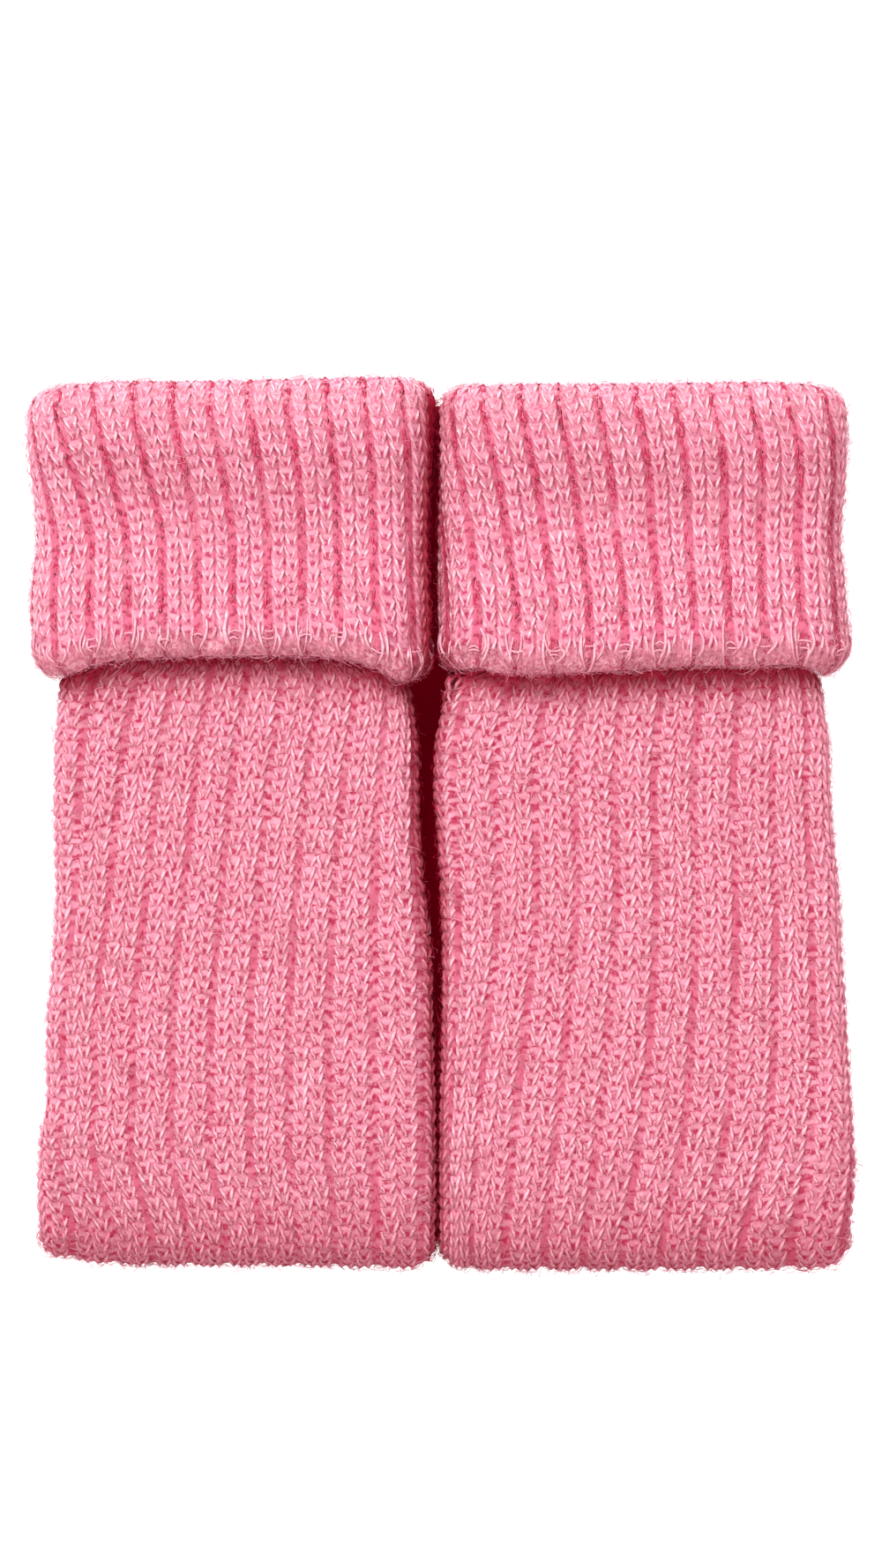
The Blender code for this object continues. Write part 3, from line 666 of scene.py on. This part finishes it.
def hairs(kind, side, count, bends, path_span, rib_span):
    """Needles rooted at random on a skin, each leaning over, lifting and curling as it goes.

    With t from 0 at the root to 1, its bearing turns evenly and its height is lift (1.5 sin 2.2t - 0.5).
    """
    root_path, root_rib = RANDOM.uniform(*path_span, count), RANDOM.uniform(*rib_span, count)
    length = RANDOM.gamma(5.0, HAIR_LENGTH[bends], count) + SHORTEST_HAIR
    heading, curl = RANDOM.uniform(0, 2 * np.pi, count), RANDOM.normal(0, HAIR_CURL, count)
    lift = RANDOM.gamma(2.2, HAIR_LIFT[bends], count) + LOWEST_HAIR
    t = np.linspace(0.0, 1.0, bends + 2)[None, :]
    bearing = heading[:, None] + curl[:, None] * t
    path = root_path[:, None] + length[:, None] * t * np.cos(bearing)
    rib = root_rib[:, None] + length[:, None] * t * np.sin(bearing) / RIB_WIDTH
    height = lift[:, None] * (np.sin(2.2 * t) * 1.5 - 0.5)
    points, normals = SKIN[kind][0](side, np.clip(path, path_span[0] - 2, path_span[1] + 2), rib)
    lines = points + normals * height[..., None]
    ring, _ = rings(lines, normals, 3)
    radius = RANDOM.uniform(*HAIR_RADIUS, count)[:, None, None, None]
    body = (lines[:, :, None] + ring * radius)[:, 1:-1].reshape(count, -1, 3)
    mesh = np.concatenate([lines[:, :1], body, lines[:, -1:]], 1)
    mesh[..., 2] = np.maximum(mesh[..., 2], TABLE_GAP)
    k, tip = np.arange(3), 3 * bends + 1
    after = (k + 1) % 3
    parts = [np.stack([0 * k, k + 1, after + 1], -1)]
    parts += [np.stack([k + tip - 3, 0 * k + tip, after + tip - 3], -1)]
    if bends == 2:
        parts += [np.stack([k + 1, k + 4, after + 4], -1), np.stack([k + 1, after + 4, after + 1], -1)]
    faces = np.concatenate(parts)[None] + (tip + 1) * np.arange(count)[:, None, None]
    deep = painted_shade_depth(kind, side, points[:, 0], normals[:, 0], start=0.0, shade=1.0)
    values = spread((count, tip + 1), tone=RANDOM.random(count)[:, None], deep=deep[:, None])
    return mesh.reshape(-1, 3), faces.reshape(-1, 3), values


# %% [markdown]
# ## Materials
#
# The yarn is a brushed acrylic and wool blend, spun from pink and nearly white fibres. It is matt and
# soft. Its crowns are pale, and a deeper rose is painted on its flanks and hollows as shade.


# %% Colour and node helpers
# Painted shade: the rose that the wool is blended towards between the leg warmers, under a hem and at the low
# fold.
PAINTED_SHADE_ROSE = "#A81A3A"


def linear(code):
    """A hex sRGB colour as linear red, green, blue and alpha."""
    srgb = np.array([int(code[i : i + 2], 16) / 255 for i in (1, 3, 5)])
    rgb = np.where(srgb <= 0.04045, srgb / 12.92, ((srgb + 0.055) / 1.055) ** 2.4)
    return (*rgb.tolist(), 1.0)


def feed(node, inputs):
    """A node's inputs set to numbers or hex colours, or linked to other nodes' outputs."""
    for key, value in inputs.items():
        if isinstance(value, bpy.types.NodeSocket):
            node.id_data.links.new(value, node.inputs[key])
        else:
            node.inputs[key].default_value = linear(value) if isinstance(value, str) else value


def add(tree, kind, inputs=(), **settings):
    """A new node with its settings and its inputs."""
    node = tree.nodes.new(kind)
    for key, value in settings.items():
        setattr(node, key, value)
    feed(node, dict(inputs))
    return node


def blended(tree, share, low, high):
    """A colour between two hex colours or sockets."""
    return add(tree, "ShaderNodeMix", {0: share, 6: low, 7: high}, data_type="RGBA").outputs[2]


def times(tree, one, other):
    """The product of two numbers or sockets."""
    return add(tree, "ShaderNodeMath", {0: one, 1: other}, operation="MULTIPLY").outputs[0]


def ramp(tree, value, low, high):
    """A value mapped so that low becomes 0 and high becomes 1, with soft ends."""
    inputs = {"Value": value, "From Min": low, "From Max": high}
    return add(tree, "ShaderNodeMapRange", inputs, interpolation_type="SMOOTHSTEP").outputs["Result"]


def noise(tree, place, size, detail=2.0):
    """Noise with features of about size millimetres."""
    inputs = {"Vector": place, "Scale": 1 / (size * MM), "Detail": detail}
    return add(tree, "ShaderNodeTexNoise", inputs).outputs["Fac"]


def attribute(tree, key):
    """The number that a mesh carries for each point."""
    return add(tree, "ShaderNodeAttribute", attribute_name=key).outputs["Fac"]


def raised_by(tree, number, share, other):
    """A number raised by a share of another."""
    return add(tree, "ShaderNodeMath", {0: other, 1: share, 2: number}, operation="MULTIPLY_ADD").outputs[0]


def new_wool(name):
    """A new material, its node tree and the piece's own coordinates."""
    material = bpy.data.materials.new(name)
    material.use_nodes = True
    tree = material.node_tree
    return material, tree, add(tree, "ShaderNodeTexCoord").outputs["Object"]


def matt_wool(tree, colour, sheen, grain):
    """A matt woolly surface of a colour: rough, not glossy, with a soft sheen and a fine grain.

    Between the two leg warmers, under a hem and at the low fold, the rose is deepened by painted shade,
    which stands in for light going from wool to wool.
    """
    bump = add(tree, "ShaderNodeBump", {"Height": grain, "Strength": 0.35, "Distance": 0.35 * MM})
    feed(tree.nodes["Principled BSDF"], {
        "Base Color": blended(tree, attribute(tree, "deep"), colour, PAINTED_SHADE_ROSE),
        "Roughness": 0.95,
        "Specular IOR Level": 0.0,
        "Sheen Weight": sheen,
        "Sheen Roughness": 0.6,
        "Sheen Tint": "#FF9DB4",
        "Normal": bump.outputs["Normal"],
    })


# %% Brushed heather yarn
def brushed_yarn(kind, valley, shaded, painted_flank_shade, pale, strand):
    """Soft pink yarn: pale where it comes to the top, with some nearly white stitches, and painted shade
    below.
    """
    material, tree, place = new_wool(f"{kind}_brushed_yarn")
    raised = ramp(tree, attribute(tree, "knit"), -0.8, 0.4)
    heather = ramp(tree, noise(tree, place, 1.6, 3.0), 0.35, 0.65)
    patch = ramp(tree, noise(tree, place, 14.0), 0.3, 0.7)
    lighter = raised_by(tree, raised_by(tree, attribute(tree, "tone"), 1.0, heather), 0.5, patch)
    colour = blended(tree, ramp(tree, lighter, 0.3, 2.1), pale, strand)
    # Painted shade: flanks and parts sunk below a crown go to a rosier colour, and purl yarn goes from valley
    # to shaded.
    below = ramp(tree, attribute(tree, "sunk"), 0.1, 0.65)
    colour = blended(tree, below, colour, painted_flank_shade)
    colour = blended(tree, raised, blended(tree, below, valley, shaded), colour)
    matt_wool(tree, colour, 0.06, noise(tree, place, 0.45, 3.0))
    return material


def pale_hair(kind, low, high):
    """Fine loose fibres, paler than the yarn they come from."""
    material, tree, place = new_wool(f"{kind}_pale_hair")
    colour = blended(tree, attribute(tree, "tone"), low, high)
    matt_wool(tree, colour, 0.06, noise(tree, place, 0.5))
    return material


OPEN = {"leg": (0.32, 0.66), "cuff": (0.1, 0.5)}  # noise at which nap covers a valley, and leaves it open


def padded_cloth(kind, deep, bright, pad, light, notch_shade, fluff):
    """The fuzz between the yarns: pink pads on the knit columns, with a notch of painted shade in each
    stitch.

    On the leg there are notches between two columns as well, half a row further on. The valleys are painted
    shade, a crinkled deeper rose, and nap closes them in places. More nap covers the hem and the top fold;
    at the hem its paler colour is also painted light on the roll's shaded face.
    """
    material, tree, place = new_wool(f"{kind}_padded_cloth")
    grain = noise(tree, place, 1.3, 3.0)
    colour = blended(tree, ramp(tree, grain, 0.35, 0.65), pad, light)
    off = attribute(tree, "off_column")
    wavy = raised_by(tree, off, 0.1, noise(tree, place, 2.2))
    strayed = raised_by(tree, attribute(tree, "row"), 0.9, noise(tree, place, 3.0))
    row = add(tree, "ShaderNodeMath", {0: strayed, 1: 0.5}, operation="PINGPONG").outputs[0]
    # Painted shade: a darker notch in the middle of each stitch, and on the leg between two columns as well.
    spotty = ramp(tree, grain, 0.34, 0.54)
    middle = times(tree, ramp(tree, off, 0.15, 0.06), ramp(tree, row, 0.42, 0.14))
    colour = blended(tree, times(tree, middle, spotty), colour, notch_shade)
    if kind == "leg":
        between = times(tree, ramp(tree, off, 0.09, 0.14), ramp(tree, row, 0.1, 0.32))
        colour = blended(tree, times(tree, between, spotty), colour, notch_shade)
    # Painted shade: the valleys go to a crinkled deeper rose where the nap leaves them open.
    half = COLUMN_HALF[kind]
    crinkle = times(tree, ramp(tree, row, 0.15, 0.4), ramp(tree, noise(tree, place, 1.5, 3.0), 0.4, 0.6))
    hollow = blended(tree, crinkle, bright, deep)
    open_valley = ramp(tree, noise(tree, place, 12.0, 3.0), *OPEN[kind])
    in_valley = ramp(tree, wavy, half - 0.01, half + 0.04)
    colour = blended(tree, times(tree, in_valley, open_valley), colour, hollow)
    # Paler nap: at the hem it is partly painted light on the roll's shaded face.
    tufts = ramp(tree, noise(tree, place, 1.1, 3.0), 0.4, 0.6)
    nap = blended(tree, tufts, *fluff)
    colour = blended(tree, attribute(tree, "fluff"), colour, nap)
    matt_wool(tree, colour, 0.04, noise(tree, place, 0.7, 3.0))
    return material


YARN = {
    "leg": brushed_yarn("leg", "#DE90A6", "#BC4464", "#E090A8", "#F1B5C6", "#FAD8E1"),
    "cuff": brushed_yarn("cuff", "#DC869E", "#BC3C5E", "#E08FA7", "#F5C2D0", "#FCE2E9"),
}
LEG_NAP, CUFF_NAP = ("#DC9CB2", "#E8B4C4"), ("#DA7E9A", "#FDD3DE")
CLOTH = {
    "leg": padded_cloth("leg", "#AA3452", "#CE708A", "#DC9CB2", "#E8B4C4", "#B43E5E", LEG_NAP),
    "cuff": padded_cloth("cuff", "#AC3A58", "#D27490", "#DA96AC", "#E6AFC0", "#B6466A", CUFF_NAP),
}
HAIR = {kind: pale_hair(kind, "#E796AE", "#F2BECB") for kind in ("leg", "cuff")}

# %% [markdown]
# ## The cloth under the loops
#
# Between the yarns the eye meets brushed fuzz. A thin closed wall just under the skin stands for it: an
# outer and an inner face, joined round their edges. It swells into a pad along each knit column, up to
# half the yarn's thickness, and sinks to a narrow crease between two columns. In the valleys it comes
# nearly up to the skin again, or past it on the cuff, so they are shallow and show by a deeper rose,
# painted as shade.

# %% A thin wall of cloth
PAD_SUNK = {"leg": 0.6, "cuff": 0.45}  # mm below the skin
CREASE_SUNK = {"leg": 0.95, "cuff": 1.4}  # between two knit columns
EDGE_SUNK = {"leg": 0.65, "cuff": 0.65}  # at the foot of a pad, beside a valley
INNER_CREASE = {"leg": 0.8, "cuff": 1.0}  # how strong the crease between two knit columns is
VALLEY_SUNK = {"leg": 0.05, "cuff": -0.35}  # in the middle of a valley
HEM_SUNK = 0.25
HEM_FULL, HEM_FADE = 6.5, 2.0  # mm along the cuff's path where the smooth hem ends, and how softly
INNER_SUNK = 2.3
LOWEST_CLOTH = 0.3  # mm above the table
TOP_FLUFF, TOP_FLUFF_WIDE = 0.55, 10.0  # how much nap hides the ribs at the top fold, and from how far
NOTCH_SHIFT = {"leg": 0.75, "cuff": -0.75}  # mm along the path from a row to its notch
ROW_START = 0.45  # of a row, so that the noise that strays the rows leaves them centred


def rib_places(kind, first, last):
    """Places across the ribs from first to last, closest where the pads turn down."""
    purl, half = PURL_WIDTH[kind], COLUMN_HALF[kind]
    steps = np.array([0.0, purl / 2, purl, purl + 0.03, purl + 0.09, purl + half, 0.41, 0.47, 0.5])
    steps = np.concatenate([steps, 1 - steps[-2:0:-1]])
    every = (np.arange(np.floor(first), np.ceil(last))[:, None] + steps).ravel()
    return np.concatenate([[first], every[(every > first + 0.01) & (every < last - 0.01)], [last]])


def cloth(kind, name, side, paths, ribs, first_row):
    """A closed wall under a skin. Its pads sink from the middle to their edges by (off / half)^4."""
    points, normals = SKIN[kind][0](side, paths[:, None], ribs[None, :])
    half = COLUMN_HALF[kind]
    from_middle = np.abs(ribs % 1.0 - 0.5)
    off = np.abs(from_middle - half) * np.where(from_middle < half, INNER_CREASE[kind], 1.0)
    in_valley = np.clip((off - half) / PURL_WIDTH[kind], 0, 1)
    edge = np.where(from_middle < half, CREASE_SUNK[kind], EDGE_SUNK[kind])
    sunk = PAD_SUNK[kind] + (edge - PAD_SUNK[kind]) * np.clip(off / half, 0, 1) ** 4
    sunk = (sunk + (VALLEY_SUNK[kind] - edge) * in_valley**0.9)[None, :, None]
    all_round = kind == "cuff"
    hem = ease((HEM_FULL - paths) / HEM_FADE)[:, None, None] if all_round else 0.0
    outer = points - normals * (sunk + (HEM_SUNK - sunk) * hem)
    inner = points - normals * INNER_SUNK
    rows = np.concatenate([outer, inner[::-1]])
    rows[..., 2] = np.maximum(rows[..., 2], LOWEST_CLOTH)
    faces = grid_faces(len(rows), len(ribs), close_rows=True, close_columns=all_round)
    if all_round:
        faces = faces[:, ::-1]
    else:
        count, wide = len(paths), len(ribs)
        near = np.arange(count - 1)
        far = 2 * count - 1 - near
        ends = np.concatenate([np.stack([near, near + 1, far - 1], -1), np.stack([near, far - 1, far], -1)])
        faces = np.concatenate([faces, ends[:, ::-1] * wide, ends * wide + wide - 1])
    along = np.concatenate([paths, paths[::-1]])[:, None]
    row = (along - first_row - NOTCH_SHIFT[kind] - row_wave(ribs)[None, :]) / COURSE - ROW_START
    # Paler nap at the hem is partly painted light that lifts the hem roll's shaded lower face; at the top
    # fold it hides the ribs.
    fluff = 0.0
    if all_round:
        top_starts = HEM_LENGTH + CUFF_FACE_LENGTH - TOP_FLUFF_WIDE
        fluff = ease((HEM_FULL + 1.0 - along) / HEM_FADE)
        fluff = fluff + TOP_FLUFF * ease((along - top_starts) / TOP_FLUFF_WIDE)
    deep = painted_shade_depth(kind, side, points, normals)
    values = spread(row.shape, off_column=off, row=row, deep=np.concatenate([deep, deep[::-1]]), fluff=fluff)
    return make_mesh(f"{kind}_{name}_cloth", rows.reshape(-1, 3), faces, CLOTH[kind], **values)


def joined(name, batches, material):
    """One mesh from several batches of points, triangles and numbers."""
    starts = np.cumsum([0] + [len(points) for points, _, _ in batches])
    points = np.concatenate([points for points, _, _ in batches])
    faces = np.concatenate([faces + start for (_, faces, _), start in zip(batches, starts)])
    values = {key: np.concatenate([values[key] for _, _, values in batches]) for key in batches[0][2]}
    return make_mesh(name, points, faces, material, **values)


def dress(kind, name, base, near, far, nap):
    parts = (("near_loops", near, YARN), ("far_loops", far, YARN), ("hairs", nap, HAIR))
    others = [joined(f"{kind}_{name}_{part}", batches, made_of[kind]) for part, batches, made_of in parts]
    for piece in (base, *others):
        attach(piece, "root")
        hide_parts(f"{kind}_{name}")


# %% The legs
LEG_FIRST_COURSE = 12.0  # just inside the cuff
NEAR_END = FACE_LENGTH + 0.8 * FOLD_LENGTH  # most of the way round the low fold
FAR = {"sides": 3, "detail": 0.65}  # the loops underneath have fewer points

for name, side in PAIR.items():
    first, last = -side["first_valley"], side["leg_ribs"] - side["first_valley"]
    paths = np.concatenate([  # down the face, round the low fold and back up
        np.arange(0, FACE_LENGTH, 10.0),
        FACE_LENGTH + np.linspace(0, FOLD_LENGTH, 9),
        FACE_LENGTH + FOLD_LENGTH + np.linspace(0, FACE_LENGTH, 10)[1:],
    ])
    base = cloth("leg", name, side, paths, rib_places("leg", first, last), LEG_FIRST_COURSE)
    near = knit("leg", side, np.arange(LEG_FIRST_COURSE, NEAR_END, COURSE), first, last)
    far = knit("leg", side, np.arange(NEAR_END, LEG_LENGTH - LEG_FIRST_COURSE, COURSE), first, last, **FAR)
    furry = (LEG_FIRST_COURSE, NEAR_END + 8)
    nap = [hairs("leg", side, count, bends, furry, (first, last)) for count, bends in ((7000, 1), (1700, 2))]
    dress("leg", name, base, [near], [far], nap)

# %% [markdown]
# ## The cuffs and their hems
#
# The hem is a tight rolled welt. Above it comes one course of long stitches, pulled tall by the binding,
# and across each valley lie two short bars of the binding yarn.

# %% The cuffs
WELT_ROWS = (1.0, 2.7, 4.4)  # these are all in mm along the path
BAR_ROWS = (7.4, 8.9)
LONG_ROW = 8.6
FIRST_ROW = 13.2  # of the stitches above the hem


def at_valleys(values, share):
    """Each valley of the face paired with each of the values, and a share of those pairs kept by chance."""
    valleys, values = np.repeat(np.arange(CUFF_RIBS + 1), len(values)), np.tile(values, CUFF_RIBS + 1)
    shown = RANDOM.random(len(valleys)) < share
    return valleys[shown][:, None], values[shown][:, None]


def bars(side):
    """Short bowed bars across most valleys: each reaches a tenth of a rib or more to both sides."""
    valleys, rows = at_valleys(BAR_ROWS, 0.7)
    reach = RANDOM.uniform(0.1, 0.18, valleys.shape)
    t = np.linspace(-1, 1, 6)[None, :]
    path = rows + RANDOM.normal(0, 0.4, rows.shape) + RANDOM.uniform(-0.8, 0.5, rows.shape) * t**2
    points, normals = cuff_skin(side, path, valleys + RANDOM.normal(0, 0.03, rows.shape) + reach * t)
    height = 0.45 + 0.25 * np.cos(t * np.pi / 2)
    return strands(points + normals * height[..., None], normals, 0.26)


def strands(lines, normals, radius):
    """Single pale strands along lines, with the numbers that the yarn's material reads."""
    mesh, faces, angle = tubes(lines, normals, radius)
    # sunk gives the strands' flanks the yarn's painted shade
    return mesh, faces, spread(angle.shape, sunk=0.1 + (1 - np.cos(angle)) / 2, deep=0.0, tone=0.0, knit=1.0)


def eyes(side):
    """Long strands that bow out round the valleys just above the hem, like the two sides of an eye.

    Their sideways places are in ribs from the valley's middle, and their tops and low ends in mm of path.
    """
    valleys, outward = at_valleys((-1.0, -1.0, 1.0, 1.0), 0.75)
    size = valleys.shape
    t = np.linspace(0, 1, 9)[None, :]
    start, end = RANDOM.uniform(0.02, 0.3, size), RANDOM.uniform(-0.1, 0.2, size)
    bow = RANDOM.uniform(0.04, 0.17, size)
    top, low = RANDOM.uniform(8.5, 14.5, size), RANDOM.uniform(1.5, 6.0, size)
    places = valleys + outward * (start * (1 - t) + end * t + bow * np.sin(np.pi * t))
    points, normals = cuff_skin(side, top + (low - top) * t, places)
    height = -0.7 + 1.05 * np.sin(np.pi * t) ** 0.6
    return strands(points + normals * height[..., None], normals, RANDOM.uniform(0.3, 0.52, size))


for name, side in PAIR.items():
    first, middle, last = -UNDER_RIBS, CUFF_RIBS + UNDER_RIBS, CUFF_ROUND - UNDER_RIBS
    paths = np.concatenate([  # round the hem, above it, up the face, over the top and into the mouth
        np.linspace(0, HEM_LENGTH, 6)[:-1],
        [5.2, 6.6, 8.0],
        np.linspace(HEM_LENGTH + 6.0, HEM_LENGTH + CUFF_FACE_LENGTH, 11)[:-1],
        np.linspace(HEM_LENGTH + CUFF_FACE_LENGTH, CUFF_LENGTH - MOUTH_LENGTH, 7),
        [CUFF_LENGTH],
    ])
    base = cloth("cuff", name, side, paths, rib_places("cuff", first, last)[:-1], FIRST_ROW)
    rows = np.arange(FIRST_ROW, CUFF_LENGTH - 3.0, COURSE)
    batches = []
    for start, end, detail in ((first, middle, {}), (middle, last, FAR)):
        batches.append([
            knit("cuff", side, rows, start, end, **detail),
            knit("cuff", side, [LONG_ROW], start, end, reach=1.45, wave=0.2, **detail),
            knit("cuff", side, WELT_ROWS, start, end, reach=0.5, wave=0.0, **detail),
        ])
    near, far = batches
    near += [bars(side), eyes(side)]
    furry, at_hem = (1.0, CUFF_LENGTH - MOUTH_LENGTH), (0.5, 8.0)
    nap = [
        hairs("cuff", side, count, bends, span, (first, middle))
        for count, bends, span in ((4700, 1, furry), (800, 2, furry), (1000, 2, at_hem), (1000, 1, at_hem))
    ]
    dress("cuff", name, base, near, far, nap)

# %% [markdown]
# ## Floor, light and camera
#
# The pair lies on a white table lit from below, so no shadow shows beside it. A narrow strip of it in
# front of the low fold is left out of the bounced light, as if in the pair's own shade. Under the pair is
# a dark red patch that glows faintly, painted shade for the narrow gap between the two red leg warmers.
# The main light is soft and low, from beyond the cuffs and a little to the left, and a weaker one hangs
# over the low fold.
# The room adds a faint rosy light, as from wool to wool, and its wall is a plain pale one to the camera.
# The camera looks straight down.

# %% Floor
TABLE_REACH = 1500  # mm from the middle to each edge
# PAIR_X and PAIR_Y are the reach of the patch of painted shade under the pair.
PAIR_X, PAIR_Y = 98, 112  # the dark patch's reach, just inside the pair's outline
NEAR_STRIP_Y = 150.0  # mm in front of the middle, where the strip left out of the bounced light ends


def table_part(name, corners, faces, colour, glow_colour, glow):
    """A flat part of the table top, matt and of one colour, with a glow."""
    mesh = bpy.data.meshes.new(name)
    mesh.from_pydata([(x * MM, y * MM, 0.0) for x, y in corners], [], faces)
    material = bpy.data.materials.new(name)
    material.use_nodes = True
    feed(material.node_tree.nodes["Principled BSDF"], {
        "Base Color": colour,
        "Roughness": 0.8,
        "Specular IOR Level": 0.0,
        "Emission Color": glow_colour,
        "Emission Strength": glow,
    })
    mesh.materials.append(material)
    part = put_in_scene(name, mesh)
    part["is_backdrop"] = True
    return part


def rectangle(reach_x, reach_y):
    """The four corners of a rectangle about the origin."""
    return [(-reach_x, -reach_y), (reach_x, -reach_y), (reach_x, reach_y), (-reach_x, reach_y)]


corners = rectangle(TABLE_REACH, TABLE_REACH) + rectangle(PAIR_X, PAIR_Y)
corners += [(-PAIR_X, -NEAR_STRIP_Y), (PAIR_X, -NEAR_STRIP_Y)]
around = [(1, 2, 6, 5, 9), (2, 3, 7, 6), (3, 0, 8, 4, 7), (0, 1, 9, 8)]
lit_white = ("#C8C4C4", "#FFFFFF", 0.9)
table_part("floor", corners, around, *lit_white)
near_floor = table_part("near_floor", corners, [(8, 9, 5, 4)], *lit_white)
near_floor.visible_diffuse = near_floor.visible_glossy = False
# Painted shade: a dark red patch under the pair, glowing faintly, darkens the narrow gap between the two leg
# warmers.
table_part("painted_gap_shade", rectangle(PAIR_X, PAIR_Y), [(0, 1, 2, 3)], "#5C0008", "#400008", 1.0)

# %% Light
world = bpy.data.worlds.new("studio")
bpy.context.scene.world = world
world.use_nodes = True
tree = world.node_tree
fill = tree.nodes["Background"]
feed(fill, {"Color": (1.0, 0.27, 0.33, 1), "Strength": 0.42})
wall = add(tree, "ShaderNodeBackground", {"Color": "#F6F3F3", "Strength": 1.0})
seen = add(tree, "ShaderNodeLightPath").outputs["Is Camera Ray"]
studio = add(tree, "ShaderNodeMixShader", {0: seen, 1: fill.outputs[0], 2: wall.outputs[0]})
feed(tree.nodes["World Output"], {"Surface": studio.outputs[0]})


def soft_box(name, place, watts):
    """A square area light of one metre at a place in metres, turned to face the pair."""
    lamp = bpy.data.lights.new(name, "AREA")
    lamp.size, lamp.energy = 1.0, watts
    box = put_in_scene(name, lamp)
    box.location = place
    box.rotation_euler = (Vector() - Vector(place)).to_track_quat("-Z", "Y").to_euler()


soft_box("far_soft_box", (-0.6, 1.5, 1.35), 44.5)
soft_box("top_soft_box", (0.0, -0.45, 1.25), 9.0)
bpy.context.scene.view_settings.view_transform = "Standard"

# %% Camera
WIDTH_PX = 1000
MM_PER_PX = 0.235
CENTRE_Y = 10.6  # mm, where the picture's middle looks
CAMERA_HEIGHT = 1700.0
LOOK_HEIGHT = 12.0  # the height at which MM_PER_PX holds
SENSOR_WIDTH = 36.0
lens = bpy.data.cameras.new("overhead")
lens.sensor_fit = "HORIZONTAL"
lens.sensor_width = SENSOR_WIDTH
lens.lens = SENSOR_WIDTH * (CAMERA_HEIGHT - LOOK_HEIGHT) / (WIDTH_PX * MM_PER_PX)
camera = put_in_scene("overhead", lens)
camera.location = (0.0, CENTRE_Y * MM, CAMERA_HEIGHT * MM)
bpy.context.scene.camera = camera

# %% Print the sizes and finish
visual_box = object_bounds()
for key, box in {"cad": CAD_BOX, "visual": visual_box}.items():
    print(key, [round(v / MM, 1) for v in (*box[0], *box[1])])
